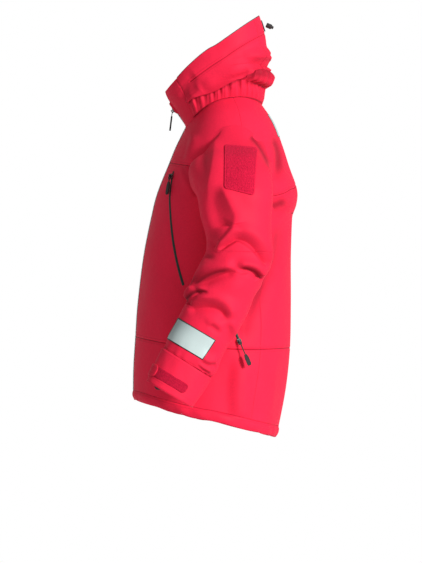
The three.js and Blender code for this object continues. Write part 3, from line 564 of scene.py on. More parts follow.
def body_folds(r):
    """Folds of the body, over y and z, as the wearer's left shows them, with painted shade in their hollows."""
    # the hollow in front of the armhole, and the soft folds above it
    r.fold([(-140, -56), (-148, -90), (-158, -124)], 9, 3.4, 12, 16, (0.3, 0.2), 0.08)
    r.groove([(-159, -128), (-150, -154), (-134, -184), (-127, -204)], 7, 3.4, (0.2, 0.3), 0.22)
    r.fold([(-148, -126), (-140, -154), (-126, -186)], 8, -3.5, 12, 14, (0.2, 0.3), 0.05)
    # behind the shoulder, with painted shade in the hollow
    r.groove([(40, -60), (52, -92), (54, -128), (46, -176)], 10, 5.5, (0.25, 0.35), 0.50)
    r.fold([(66, -160), (65, -130), (60, -95), (50, -68)], 6, 2.2, 12, 10, (0.3, 0.3), 0.06)
    # the underarm crease, with painted shade above it
    r.fold([(34, -250), (50, -240), (66, -226), (84, -214)], (9, 7, 4), -1.5, 10, 12, (0.1, 0.1), 0.10)
    r.groove([(36, -222), (52, -214), (68, -206)], 10, 2.0, (0.1, 0.4), 0.50)
    # long soft falls of cloth; the first two also paint the soft shadow along the sleeve's back edge
    r.fold([(48, -250), (40, -320), (14, -400), (-14, -480)], 16, -5.4, 16, 22, (0.2, 0.3), 0.26)
    r.fold([(20, -370), (0, -420), (-14, -470), (-26, -520)], 13, -3.0, 16, 26, (0.2, 0.2), 0.28)
    r.fold([(-40, -540), (-50, -620), (-46, -700)], 14, 3.6, 26, 30, (0.3, 0.2), 0.06)
    r.fold([(-18, -560), (-10, -630), (-8, -700)], 12, -2.4, 20, 22, (0.35, 0.2), 0.04)
    r.fold([(58, -540), (52, -610), (40, -690)], 12, -2.2, 18, 22, (0.3, 0.2), 0.03)
    r.fold([(-232, -300), (-238, -400), (-236, -500)], 16, 1.2, 24, 24, (0.3, 0.3))
    r.fold([(-205, -430), (-212, -520), (-205, -600)], 14, 1.4, 26, 26, (0.3, 0.3))
    r.bump((-175, -470), (34, 60), 1.6, 20)
    r.bump((-160, -560), (36, 50), -2.0, 12)
    r.bump((60, -350), (20, 70), 1.4, 0)
    r.fold([(-245, -560), (-200, -575), (-150, -570)], 9, 0.9, 18, 18, (0.3, 0.4))


def calm_near(u, v, lines, inner, outer):
    """1 well away from the lines and 0 on them, so that folds leave the zips flat."""
    keep = np.ones_like(u)
    probe = Relief(u, v)
    for points in lines:
        where, s, along = probe.near(points, outer + 2)
        keep[where] = np.minimum(keep[where], ease((np.abs(s) - inner) / (outer - inner)))
    return keep


def zip_arc(rows, points):
    a, b, c = (surface(rows, np.array(float(p[0])), np.array(float(p[1]))) for p in points)
    ab, ac = b - a, c - a
    axis = np.cross(ab, ac)
    middle = np.cross(axis, ab) * ac.dot(ac) + np.cross(ac, axis) * ab.dot(ab)
    centre = a + middle / (2 * axis.dot(axis))
    axis = axis / np.linalg.norm(axis)
    spoke = a - centre
    radius = np.linalg.norm(spoke)
    sweep = math.acos(np.clip(spoke.dot(c - centre) / radius ** 2, -1, 1))
    side = np.cross(axis, spoke)
    def along(share):
        t = np.asarray(share)[..., None] * sweep
        return centre + spoke * np.cos(t) + side * np.sin(t)
    return along


# The pocket zips' three points: angle round the body, and place up the sections.
CHEST_ZIP = zip_arc(BODY, [(28.3, 7.7), (44, 6.1), (68, 4.39)])
HAND_ZIP = zip_arc(BODY, [(92, 4.62), (98.4, 3.85), (107.5, 3.12)])


# How far up the sections the yoke's seam moves, by angle.
YOKE_WARP = ((0, 75, 100, 114, 130, 150, 180), (0, 0, -0.45, -0.7, -0.45, 0.0, 0.3))


def body_grid(side):
    """The outer face of one half of the body: points, normals, painted shade and seams."""
    share = pieced([0.0, 1.0, 2.0, 3.0], [118, 24, 46])
    at = pieced([0.0, HEM_TOP, WAIST, YOKE, NECKLINE], [8, 46, 108, 74])
    s, a = np.meshgrid(share, at, indexing="ij")
    first = edge_angle(BODY, a)
    angle = np.where(
        s <= 1, first + (SHOULDER_SEAM - first) * s,
        np.where(s <= 2, SHOULDER_SEAM + (SIDE_SEAM - SHOULDER_SEAM) * (s - 1),
                 SIDE_SEAM + (180 - SIDE_SEAM) * (s - 2)),
    )
    warp = np.interp(angle, YOKE_WARP[0], YOKE_WARP[1]) * np.exp(-(((a - YOKE) / 0.8) ** 2))
    p = surface(BODY, angle, a + warp)
    normals = grid_normals(p)
    y, z = p[..., 1].copy(), p[..., 2].copy()
    if side == "right":  # its folds lie a little differently
        y, z = y + 4 * np.sin(z / 60), z + 5 + 4 * np.sin(y / 40)
    r = Relief(y + DRAWN, z)
    body_folds(r)
    shares = np.linspace(0, 1, 12)
    zips = [np.asarray(curve(shares))[:, 1:] for curve in (CHEST_ZIP, HAND_ZIP)]
    keep = calm_near(p[..., 1], p[..., 2], zips, 6, 22)
    keep = keep * ease((p[..., 0] - 8) / 30) * (1 - ease((angle - 146) / 26))
    height = r.height * keep
    su, sv = grid_lengths(p)
    row = {mark: int(np.argmin(np.abs(at - mark))) for mark in (HEM_TOP, WAIST, YOKE, NECKLINE)}
    seam = np.full_like(y, NO_SEAM)
    for mark, beside in ((WAIST, 0.0), (YOKE, 0.0), (NECKLINE, 0.2)):
        seam = np.minimum(seam, np.abs(sv - sv[:, [row[mark]]]) + beside)
    pucker = 0.35 * np.sin(su / 5.2 + 1.3 * np.sin(sv / 17)) * np.exp(-(seam / 7) ** 2)
    height = height - 1.1 * np.exp(-(seam / 2.0) ** 2) + pucker
    # the shoulder blade fills out the back
    blade = ease((z + 120) / -80) * ease((z + 242) / 34) * ease((angle - 112) / 30)
    height = height + 5.5 * blade * (1 - 0.35 * ease((angle - 150) / 30))
    drape = 0.8 * np.sin(p[..., 1] / 23 + p[..., 2] / 61) * np.sin(p[..., 2] / 47 + 1.1)
    height = height + drape * keep
    p = p + normals * height[..., None]
    # painted shade from the folds, where the folds are kept
    shade = 1 - (1 - r.shade) * keep
    return {"p": p, "n": normals, "shade": shade, "seam": seam, "row": row, "share": share}


# ---------------------------------------------------------------- the sleeve
HOLE_CENTRE = (-52.0, -132.0)
ARMHOLE = [  # y and z round the armhole, from the front over the top
    (-143, -140), (-127, -104), (-97, -70), (-78, -48), (-52, -40), (-28, -42), (-8, -54),
    (20, -74), (37, -109), (43, -146), (36, -186), (14, -214), (-24, -228), (-68, -226),
    (-108, -210), (-134, -178),
]
# Rings of the sleeve: front and back points in side view (y, z), centre and half width across (x),
# how far the ring is tipped up from level in degrees, and for the first rings the underarm point (x, z).
RINGS = [
    ((-146, -146), (30, -136), 190, 57, 66, (188, -222)),
    ((-140, -166), (37, -158), 228, 62, 46, (196, -218)),
    ((-128, -198), (40, -196), 258, 62, 18, (203, -222)),
    ((-119, -244), (36, -242), 266, 58, 6, None),
    ((-109, -284), (36, -284), 270, 57, 2, None),
    ((-108, -318), (36, -322), 273, 58, 0, None),
    ((-120, -346), (34, -358), 275, 60, 0, None),
    ((-132, -380), (16, -384), 276, 59, 0, None),
    ((-151, -410), (8, -402), 278, 57, 0, None),
    ((-151, -430), (-6, -432), 280, 55, 0, None),
    ((-160, -448), (-22, -470), 283, 54, 0, None),
    ((-176, -478), (-50, -515), 287, 53, 0, None),
    ((-190, -505), (-70, -548), 290, 51, 0, None),
    ((-199, -528), (-84, -584), 293, 49, 0, None),
    ((-201, -534), (-97, -597), 294, 47.5, 0, None),
]
SEAT_RUN = 13.0  # how far the sleeve runs on along the body's own surface before it turns down the arm
ELBOW_SEAM = 7.0  # which ring the elbow seam follows, counting the armhole as 0
SLEEVE_AROUND, SLEEVE_ALONG = 168, 300
WELL_OUT = 400.0  # an x outside everything, where rays start


def surface_tree(p):
    n, m = p.shape[:2]
    index = np.arange(n * m).reshape(n, m)
    return BVHTree.FromPolygons(p.reshape(-1, 3).tolist(), grid_quads(index).reshape(-1, 4).tolist())


def cast(trees, origins, direction):
    """The first point each ray meets, or where a neighbour's ray ended if it meets nothing."""
    direction = Vector(direction)
    out, last = np.empty_like(origins), None
    for i, origin in enumerate(origins.reshape(-1, 3)):
        hits = [tree.ray_cast(Vector(origin), direction) for tree in trees]
        hits = [(h[3], h[0]) for h in hits if h[0] is not None]
        if hits:
            last = np.array(min(hits, key=lambda h: h[0])[1])
        out.reshape(-1, 3)[i] = last if last is not None else origin
    return out


def ring_point(front, back, middle, half, tip, under, around):
    """Points round one ring: 0 at the front, 90 outward and up, 180 at the back, 270 underneath."""
    f, b = np.array(front, float) - (DRAWN, 0), np.array(back, float) - (DRAWN, 0)
    mid, reach = (f + b) / 2, (f - b) / 2
    c, s = np.cos(around * DEG), np.sin(around * DEG)
    c = np.sign(c) * np.abs(c) ** 0.93
    s = np.sign(s) * np.abs(s) ** 0.93
    top = np.array([half * math.cos(tip * DEG), half * math.sin(tip * DEG)])
    low = -top if under is None else np.array([under[0] - middle, under[1] - mid[1]])
    across = np.where(s[:, None] >= 0, top * s[:, None], -low * s[:, None])
    yz = mid + reach * c[:, None]
    return np.column_stack([middle + across[:, 0], yz[:, 0], yz[:, 1] + across[:, 1]])


def sleeve_rings(body_tree):
    around = np.linspace(-60, 300, SLEEVE_AROUND + 1)
    hole = smooth_line(ARMHOLE + ARMHOLE[:1], 400)
    polar = np.arctan2(hole[:, 1] - HOLE_CENTRE[1], HOLE_CENTRE[0] - hole[:, 0]) / DEG % 360
    order = np.argsort(polar)
    wrapped = np.r_[polar[order][-1] - 360, polar[order], polar[order][0] + 360]
    line = np.vstack([hole[order][-1:], hole[order], hole[order][:1]])
    yz = np.stack([np.interp(around % 360, wrapped, line[:, k]) for k in (0, 1)], axis=-1)
    yz = yz - (DRAWN, 0)
    start = np.column_stack([np.full(len(yz), WELL_OUT), yz])
    seat = cast([body_tree], start, (-1, 0, 0))
    around_body = unit(np.roll(seat, -1, 0) - np.roll(seat, 1, 0))
    normals = np.array([body_tree.find_nearest(Vector(q))[1] for q in seat])
    normals[normals[:, 0] < 0] *= -1
    for _ in range(20):
        normals = unit(np.roll(normals, 1, 0) + normals + np.roll(normals, -1, 0))
    inward = unit(np.cross(normals, around_body))
    middle = np.array([0, HOLE_CENTRE[0] - DRAWN, HOLE_CENTRE[1]])
    away = ((seat - middle) * (0, 1, 1) * inward).sum(-1) > 0
    inward[away] *= -1
    rings = [seat + normals * 0.3, seat + inward * SEAT_RUN + normals * 3.0]
    rings += [ring_point(*ring, around) for ring in RINGS]
    return around, np.array(rings)


def sleeve_folds(r):
    """Folds of the sleeve's outer face, over y and z, with painted shade in their creases."""
    # a long ridge down the front of the cap, falling away towards the front
    r.fold([(-96, -60), (-99, -84), (-104, -112), (-110, -146), (-116, -182), (-118, -228)], (8, 12, 13, 13, 12), 4.2,
           26, 14, (0.35, 0.25), 0.05, "top")
    r.groove([(-10, -60), (6, -80), (20, -102), (30, -126), (35, -156)], 9, 4.0, (0.1, 0.4), 0.55)
    r.stitch([(-122, -102), (-108, -82), (-93, -68)], 0.5)
    r.stitch([(-82, -46), (-58, -40), (-31, -38)], 0.5)
    r.fold([(-84, -170), (-76, -208), (-64, -246), (-60, -266)], (6, 16, 20, 12), 6.5, 22, 18, (0.25, 0.10), 0.12, "top")
    r.fold([(-47, -258), (-66, -286), (-94, -318)], (5, 6, 4), 4.0, 14, 18, (0.15, 0.15), 0.08)
    r.bump((-92, -282), (14, 26), -3.0, -20, 0.16)
    r.bump((-112, -118), (9, 34), -1.5, 6, 0.16)
    r.bump((-5, -235), (26, 46), 2.4, 0)
    # the back of the shoulder
    r.fold([(40, -165), (30, -120), (10, -88), (-10, -66)], (4, 5, 5), 3.0, 16, 8, (0.2, 0.3), 0.04)
    # the fold that runs over the arm above the elbow
    r.fold([(-84, -316), (-60, -294), (-38, -283), (-8, -293), (16, -318), (34, -352)], (4, 9, 11, 11, 9), 7.0,
           18, 4, (0.12, 0.08), 0.14, "foot")
    r.groove([(-84, -324), (-60, -308), (-41, -297), (-30, -300), (0, -321), (30, -358)], 2.2, 2.2, (0.1, 0.2), 0.30)
    r.groove([(-93, -322), (-64, -322), (-36, -323)], 1.3, 0.6, (0.1, 0.5), 0.08)
    r.bump((-104, -330), (12, 8), -4.5, -20, 0.30)
    r.bump((-55, -341), (34, 12), 3.4, -6)
    r.bump((-112, -352), (12, 12), 2.0, 0)
    # the deep crease of the elbow
    r.fold([(-146, -396), (-122, -381), (-92, -368), (-62, -361), (-40, -358)], (7, 9, 9, 6, 4), 8.5, 16, 12,
           (0.10, 0.25), 0.44, "foot")
    r.groove([(-136, -394), (-112, -377), (-88, -367), (-60, -361)], 2.6, 3.0, (0.1, 0.15), 0.40)
    r.fold([(-42, -355), (-18, -355), (0, -361), (14, -376)], (4, 6, 7, 6), 7.5, 12, 9, (0.25, 0.05), 0.24, "foot")
    r.groove([(-38, -356), (-16, -358), (2, -366), (15, -382)], 2.8, 4.0, (0.25, 0.03), 0.60)
    r.groove([(-56, -361), (-38, -368), (-24, -369), (-8, -367)], 1.8, 1.6, (0.2, 0.3), 0.16)
    r.bump((-46, -398), (34, 17), 3.6, 24)
    # the short deep crease at the front of the elbow
    r.fold([(-154, -434), (-143, -417), (-128, -406), (-104, -408)], (5, 7, 6, 4), 7.5, 12, 8, (0.05, 0.3), 0.34, "foot")
    r.groove([(-152, -431), (-143, -417), (-130, -408), (-112, -408), (-101, -415)], 3.2, 4.0, (0.05, 0.25), 0.62)
    r.bump((-112, -420), (14, 5), 2.8, 0)
    # the crescent below it
    r.fold([(-152, -442), (-124, -434), (-94, -432), (-68, -444), (-51, -474)], (5, 9, 11, 10, 6), 7.0, 14, 13,
           (0.15, 0.15), 0.22, "foot")
    r.bump((-98, -466), (32, 12), 3.0, -28)
    r.bump((-20, -420), (14, 26), -1.6, 20, 0.04)
    r.fold([(-60, -470), (-50, -500), (-62, -528)], 7, 3.2, 12, 10, (0.3, 0.3), 0.12)
    r.fold([(-106, -486), (-92, -482), (-70, -500)], 5, 2.4, 10, 9, (0.3, 0.3), 0.14)
    # gathers into the cuff
    r.fold([(-120, -556), (-104, -566), (-84, -566)], 5, 3.4, 9, 8, (0.3, 0.1), 0.22)
    r.fold([(-128, -566), (-112, -580), (-96, -588)], 4, 2.6, 8, 8, (0.3, 0.2), 0.16)
    r.bump((-96, -540), (12, 12), -1.8, 0, 0.06)


def sleeve_surface(body_tree):
    around, rings = sleeve_rings(body_tree)
    count = len(rings)
    at = pieced([0, ELBOW_SEAM, count - 1.0], [SLEEVE_ALONG // 2 + 20, SLEEVE_ALONG // 2])
    i = np.minimum(at.astype(int), count - 2)
    f = (at - i)[:, None, None]
    a, b = rings[np.maximum(i - 1, 0)], rings[i]
    c, d = rings[i + 1], rings[np.minimum(i + 2, count - 1)]
    return around, at, between(a, b, c, d, f).transpose(1, 0, 2)  # around, then along


def sleeve_grid(side, body_tree):
    around, at, p = sleeve_surface(body_tree)
    normals = -grid_normals(p)
    normals[0] = normals[-1] = unit(normals[0] + normals[-1])
    y, z = p[..., 1].copy(), p[..., 2].copy()
    if side == "right":  # its folds lie a little differently
        y, z = y + 3 * np.sin(z / 35), z + 4 * np.sin(y / 30) + 2
    r = Relief(y + DRAWN, z)
    sleeve_folds(r)
    facing = np.sin(around * DEG)[:, None] * np.ones_like(y)
    outer_face = ease((facing + 0.15) / 0.5)
    start = ease(at / 1.2)[None, :]
    finish = ease((len(RINGS) + 1 - at) / 0.7)[None, :]
    rolls = 3.0 * np.sin(z / 9.5 + 0.8 * np.sin(around[:, None] / 40)) * np.exp(-(((z + 395) / 38) ** 2))
    height = r.height * outer_face + rolls * (1 - outer_face)
    drape = 0.7 * np.sin(y / 13 + z / 31) * np.sin(z / 22)
    height = (height + drape) * start * (0.35 + 0.65 * finish)
    su, sv = grid_lengths(p)
    seam = np.minimum(sv + 0.2, NO_SEAM)
    split = int(np.argmin(np.abs(at - ELBOW_SEAM)))
    under = np.minimum(su, su[-1:] - su) + 0.6
    seam = np.minimum(seam, under)
    seam = np.minimum(seam, np.abs(sv - sv[:, [-1]]) + 0.1)
    height = height - 0.9 * np.exp(-(seam / 2.0) ** 2)
    to_cuff = sv[:, [-1]] - sv
    gather = 1.1 * np.sin(around[:, None] / 4.2 + np.sin(around[:, None] / 11)) * np.exp(-(to_cuff / 14))
    height = height + gather * ease(to_cuff / 3)
    p = p + normals * height[..., None]
    # painted shade from the folds, on the outer face only
    shade = 1 - (1 - r.shade) * outer_face * start
    return {"p": p, "n": normals, "shade": shade, "seam": seam, "split": split}


def mirrored(sign, *grids):
    """The grids as they are for sign 1, or on the wearer's right for sign -1."""
    return [grid * (sign, 1, 1) for grid in grids]


def across_back(left, right):
    """Joins the right half's grid on to the left half's at the middle of the back."""
    return np.concatenate([left, right[-2::-1]])


def dress(piece, slot, body, *nodes):
    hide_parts(*nodes)
    if body:
        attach(piece, body)
    return piece


def inside_hole(y, z, shrink):
    """Whether a place in side view lies inside the armhole, by at least shrink."""
    hole = smooth_line(ARMHOLE + ARMHOLE[:1], 200)[:-1] - HOLE_CENTRE
    angle = np.arctan2(hole[:, 1], hole[:, 0])
    order = np.argsort(angle)
    angle, radius = angle[order], np.hypot(*hole[order].T)
    turn = np.arctan2(z - HOLE_CENTRE[1], y - HOLE_CENTRE[0])
    edge = np.interp(turn, angle, radius, period=2 * math.pi)
    return np.hypot(y - HOLE_CENTRE[0], z - HOLE_CENTRE[1]) < edge - shrink


CLOTH = 1.6  # thickness
HOLE_INSET, HOLE_OUT = 16.0, 60  # the body's cloth is open this far inside the armhole, beyond this x
SHELL = [shell_red, dark_lining]


def body_part(name, halves, share, at, nodes):
    """One panel of the body. halves is one grid, or the left and right grids of a panel across the back."""
    strips = []
    for g, sign in halves:
        us = np.nonzero((g["share"] >= share[0] - 1e-6) & (g["share"] <= share[1] + 1e-6))[0]
        vs = slice(g["row"].get(at[0], 0), g["row"][at[1]] + 1)
        p, n = g["p"][us][:, vs], g["n"][us][:, vs]
        hole = inside_hole(p[..., 1] + DRAWN, p[..., 2], HOLE_INSET) & (np.abs(p[..., 0]) > HOLE_OUT)
        strips.append([*mirrored(sign, p, n), g["shade"][us][:, vs], g["seam"][us][:, vs], hole])
    if len(strips) == 2:
        strips = [[across_back(a, b) for a, b in zip(*strips)]]
    p, n, shade, seam, hole = strips[0]
    mask = ~(hole[:-1, :-1] | hole[1:, :-1] | hole[1:, 1:] | hole[:-1, 1:])
    flip = len(halves) == 1 and halves[0][1] < 0
    piece = cloth(name, p, n, CLOTH, SHELL, shade, seam, flip, mask)
    return dress(piece, "shell_fabric", "body", *nodes)


bodies = {side: body_grid(side) for side in ("left", "right")}
SIGN = {"left": 1, "right": -1}
for side, g in bodies.items():
    half = [(g, SIGN[side])]
    body_part(side + "_front_yoke_cloth", half, (0, 1), (YOKE, NECKLINE), [side + "_front_yoke"])
    body_part(side + "_front_cloth", half, (0, 2), (WAIST, YOKE), [side + "_front_panel"])
    body_part(side + "_front_skirt_cloth", half, (0, 2), (HEM_TOP, WAIST), [side + "_front_skirt"])
both = [(bodies["left"], 1), (bodies["right"], -1)]
body_part("back_yoke_cloth", both, (1, 3), (YOKE, NECKLINE), ["back_yoke"])
body_part("back_cloth", both, (2, 3), (WAIST, YOKE), ["back_panel"])
body_part("back_skirt_cloth", both, (2, 3), (HEM_TOP, WAIST), ["back_skirt"])

# ---------------------------------------------------------------- hem band
def hem_cloth():
    """The turned-up hem: a soft doubled band, a little proud, with its own rounded lower edge."""
    halves = []
    for g, sign in both:
        rows = slice(0, g["row"][HEM_TOP] + 1)
        halves.append(mirrored(sign, g["p"][:, rows], g["n"][:, rows]))
    p, n = (across_back(a, b) for a, b in zip(*halves))
    down = unit(p[:, 0] - p[:, 1])
    su, length = grid_lengths(p)
    share = length / length[:, -1:]
    proud = 2.4 * np.sin(math.pi * np.clip(share, 0, 1)) ** 0.6 + 0.1
    ripple = 0.9 * np.sin(su / 9 + 1.5 * np.sin(su / 41)) * np.sin(math.pi * share)
    p = p + n * (proud + ripple)[..., None]
    p[:, 0] += down * (1.5 + 0.8 * np.sin(su[:, :1] / 14 + 1.7 * np.sin(su[:, :1] / 37)))
    seam = np.minimum(np.abs(length[:, -1:] - length) + 0.3, NO_SEAM)
    piece = cloth("hem_cloth", p, n, 4.0, [shell_red], None, seam)
    return dress(piece, "shell_fabric", "body", "hem_band")


hem_cloth()

# ---------------------------------------------------------------- hood, collar and neck band
HOOD = np.array([
    (-42, 24, 8, 90, -160, 6), (-16, 56, 42, 102, -178, 12), (6, 84, 85, 112, -194, 28),
    (20, 108, 140, 114, -202, 19), (31, 130, 198, 110, -206, 1),
], dtype=float)
COLLAR_EDGE, HOOD_SEAM = 42.0, 150.0
REAR_AT = (0, 0.5, 1.0, 1.2, 1.5, 1.75, 2.0, 2.4, 2.8, 3.3, 3.64, 4.0)  # places up the hood
REAR_MORE = (-2, 0, -2, 9, 10, -3, -12, 2, -4, 0, 1, 1)  # how much further back the soft cloth stands there


def hood_rows(at):
    s = rows_at(HOOD, at).copy()
    s[..., 5] += np.interp(at, REAR_AT, REAR_MORE)
    return s


def hood_point(angle, at):
    return on_section(hood_rows(at), angle)


# Where the hood's lower edge lies over the gathered band, in side view (y, z), and the roll's own lower edge.
CREASE = [(-162, -4), (-150, 4), (-132, 19), (-93, 29), (-60, 47), (-36, 59), (-15, 69), (7, 75), (30, 73), (48, 66)]
ROLL = [(-40, 56), (-15, 59), (1, 56), (17, 51), (34, 44)]


def hood_folds(r):
    # the hood's folds, with painted shade in their hollows
    r.fold([(p[0], p[1] + 9) for p in CREASE[2:]], 10, 3.6, 24, 8, (0.15, 0.02), 0.16)
    r.fold([(-150, 14), (-146, 34), (-134, 50), (-122, 60)], 11, -4.2, 16, 16, (0.25, 0.35), 0.16)
    r.bump((-134, 40), (9, 16), -3.0, -25, 0.10)
    r.bump((-100, 52), (26, 13), 3.4, 30)
    r.bump((-50, 76), (34, 14), 3.2, 32)
    r.fold([(-25, 97), (4, 105), (32, 107)], 11, 4.2, 18, 14, (0.35, 0.02), 0.15)
    r.fold([(-70, 92), (-30, 101), (8, 98)], 11, -1.8, 20, 16, (0.35, 0.2), 0.03)
    r.stitch([(24, 160), (-20, 137), (-68, 106), (-107, 80), (-146, 51)], 0.9)


def height_of_crease(y):
    line = smooth_line(CREASE, 200)
    return np.interp(y + DRAWN, line[:, 0], line[:, 1])


def crease_place(angle):
    """How far up the hood's sections its lower edge lies, at each angle."""
    at = np.linspace(-0.3, 2.4, 271)
    a, t = np.meshgrid(angle, at, indexing="ij")
    p = hood_point(a, t)
    above = p[..., 2] - height_of_crease(p[..., 1])
    first = np.argmax(above > 0, axis=1)
    place = at[np.clip(first, 1, len(at) - 1)]
    for _ in range(6):
        place = np.convolve(np.pad(place, 2, mode="edge"), np.ones(5) / 5, mode="valid")
    return place


def hood_grid(first, last, low, high, around_count, up_count):
    share, up = square_grid((0, 1), around_count + 1, (0, 1), up_count + 1)
    if low == "crease":
        low = crease_place(first + (last - first) * share[:, 0])[:, None]
    at = low + (high - low) * up
    begin = edge_angle(HOOD, at) if first is None else first
    angle = begin + (last - begin) * share
    p = hood_point(angle, at)
    n = grid_normals(p)
    r = Relief(p[..., 1] + DRAWN, p[..., 2].copy())
    hood_folds(r)
    calm = ease((np.abs(p[..., 0]) - 4) / 30)
    wave = 0.6 * np.sin(p[..., 1] / 15 + p[..., 2] / 27) * np.sin(p[..., 2] / 18)
    return p, n, r, calm, wave, up


HOOD_CLOTH = 2.4


def joined_to_hood(piece, slot, body, *nodes):
    """Dresses a piece; a piece of the hood rides no body, and its placement is baked into its mesh."""
    dress(piece, slot, None if body == "hood" else body, *nodes)
    if body == "hood":
        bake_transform(piece)
    return piece


def hood_piece(name, first, last, low, high, counts, node, rides):
    """A panel of the hood or collar; it crosses the middle if last is 180, and is made twice if not."""
    p, n, r, calm, wave, up = hood_grid(first, last, low, high, *counts)
    su, sv = grid_lengths(p)
    seam = np.minimum(r.seam, su + 0.2)
    if last < 180:
        seam = np.minimum(seam, su[-1:] - su + 0.2)
    height = (r.height + wave) * calm - 0.9 * np.exp(-(seam / 2.0) ** 2)
    if low == "crease":
        height = height + 8.0 * np.exp(-(sv / 13) ** 2) * ease(sv / 5 + 0.35)
    # painted shade from the folds
    shade = 1 - (1 - r.shade) * calm
    # painted shade along the hood's lower edge, under its overhang over the band
    if low == "crease":
        shade = shade * (1 - 0.30 * np.exp(-(sv / 3.5) ** 2))
    else:
        p = p - np.array([0, 0, 7.0]) * ((1 - up) ** 12)[..., None]
    if last == 180:
        p = p + n * height[..., None]
        whole, normals = (across_back(a, a * (-1, 1, 1)) for a in (p, n))
        shade, seam = (across_back(a, a) for a in (shade, seam))
        joined_to_hood(cloth(name, whole, normals, HOOD_CLOTH, SHELL, shade, seam), "shell_fabric", rides, node)
        return p
    p = p + n * height[..., None]
    for side, sign in SIGN.items():
        points, normals = mirrored(sign, p, n)
        piece = cloth(f"{side}_{name}", points, normals, HOOD_CLOTH, SHELL, shade, seam, sign < 0)
        joined_to_hood(piece, "shell_fabric", rides, f"{side}_{node}")
    return p


side_points = hood_piece("hood_side_cloth", COLLAR_EDGE, HOOD_SEAM, "crease", 4, (130, 120), "hood_side", "hood")
centre_points = hood_piece("hood_centre_cloth", HOOD_SEAM, 180, "crease", 4, (40, 120), "hood_centre", "hood")
hood_piece("collar_front_cloth", None, COLLAR_EDGE, 0, 4, (44, 130), "collar_front", "body")

# The lower edge of the gathered band in side view (y, z), where it lies over the shoulder.
BAND_FOOT = [(-152, -42), (-137, -30), (-121, -20), (-93, -4), (-64, 11), (-44, 15), (-16, 14), (4, 6), (18, -6)]
BACK_LINE = [(-48, 19), (-30, 20), (-8, 17), (8, 10), (26, -3)]  # where it meets the yoke at the back, and where a painted shadow line runs
BAND_INSIDE = -34.0  # behind this place the band goes down inside the neckline
BAND_CLEAR = 2.6  # how far the band's outer face stands off the cloth under it


def laid_over(p, tree, clear):
    """Pushes points out until they stand clear of the left half of the body, taken for both sides."""
    out = p.reshape(-1, 3).copy()
    for i, q in enumerate(out):
        place, normal, _, _ = tree.find_nearest(Vector((abs(q[0]), q[1], q[2])))
        normal = np.array(normal) * (1 if normal[2] > 0 else -1)
        gap = (np.array((abs(q[0]), q[1], q[2])) - np.array(place)).dot(normal)
        if gap < clear:
            out[i] += normal * (clear - gap) * (math.copysign(1, q[0]), 1, 1)
    return out.reshape(p.shape)


def neck_band():
    """The gathered band between the body's neckline and the hood, and the roll of cloth over it at the back."""
    share = np.linspace(0, 1, 561)
    flat = COLLAR_EDGE + (360 - 2 * COLLAR_EDGE) * share
    folded = np.minimum(flat, 360 - flat)
    top = crease_place(folded) + 0.10
    up = np.linspace(0, 1, 71)
    angle = np.broadcast_to(flat[:, None], (len(flat), len(up)))
    p = hood_point(angle, top[:, None] * up)
    foot = smooth_line(BAND_FOOT, 200)
    drop = p[:, :1, 2] - np.interp(p[:, :1, 1] + DRAWN, foot[:, 0], foot[:, 1])
    p[..., 2] -= np.maximum(drop, 9.0) * (1 - up) ** 2
    n = grid_normals(p)
    run = grid_lengths(p)[0][:, :1]
    r = Relief(p[..., 1] + DRAWN, p[..., 2].copy())
    # the roll over the band, with painted shade beneath it, and a painted shadow line where the band meets the yoke
    r.fold(ROLL, 8, 3.6, 16, 9, (0.5, 0.02), 0.22)
    r.groove([(q[0], q[1] - 7) for q in ROLL], 4.5, 0.6, (0.5, 0.02), 0.34)
    r.groove(BACK_LINE, 2.4, 0.0, (0.05, 0.0), 0.6)
    side = ease((np.abs(p[..., 0]) - 4) / 30)
    phase = run / 2.6 + 1.6 * np.sin(run / 29 + 0.6) + 0.8 * np.sin(run / 11)
    gathers = np.sin(phase + 0.9 * up) + 0.45 * np.sin(phase * 1.9 + 1.0 - 1.6 * up)
    gathers = np.clip(gathers, -1.0, 1.2)
    pinch = ease(up / 0.25) * (0.45 + 0.55 * ease((up - 0.35) / 0.35)) * np.ones_like(gathers)
    soft_back = 1 - 0.55 * ease((p[..., 1] + 20) / 30)
    puff = 4.6 * np.sin(math.pi * np.clip(up * 0.82 + 0.05, 0, 1)) ** 0.7
    height = puff + 1.9 * gathers * pinch * soft_back + r.height * side
    ends = ease(np.minimum(share, 1 - share) / 0.02)[:, None]
    p = p + n * (height * ends + 0.5)[..., None]
    low = up < 0.45
    over = laid_over(p[:, low], surface_tree(bodies["left"]["p"]), BAND_CLEAR)
    front = ease((BAND_INSIDE - p[:, low, 1:2] - DRAWN) / 16)
    p[:, low] = over * front + p[:, low] * (1 - front)
    # painted shade under the hood's lip and in the gathers' hollows
    shade_under_lip = ease((up - 0.72) / 0.2)
    gather_hollow_shade = 1 - 0.24 * np.clip(-gathers, 0, 1) * pinch * soft_back
    shade = gather_hollow_shade * (1 - 0.45 * shade_under_lip) * (1 - (1 - r.shade) * side)
    # a painted shadow along the band's foot
    shade = shade * (1 - 0.55 * np.exp(-((up / 0.045) ** 2)))
    piece = cloth("neck_band_cloth", p, n, 2.0, [trim_red], shade)
    return dress(piece, "trim_fabric", "body", "neck_band")


neck_band()


def hood_binding():
    """The dark binding and lining edge that shows along the rim."""
    halves = (np.concatenate([side_points[:-1, row], centre_points[:, row]]) for row in (-1, -3))
    rim, below = (across_back(half, half * (-1, 1, 1))[2:-2] for half in halves)
    up = unit(rim - below)
    run = np.gradient(rim, axis=0)
    out = unit(np.cross(run, up))
    steps = [(-0.6, -0.6), (-0.3, 0.5), (-0.6, 1.2), (-1.2, 1.6)]
    p = np.stack([rim + out * o + up * u for o, u in steps], axis=1)
    piece = cloth("hood_binding_cloth", p, grid_normals(p), 2.2, [dark_lining])
    return joined_to_hood(piece, "lining_fabric", "hood", "hood_binding")


hood_binding()

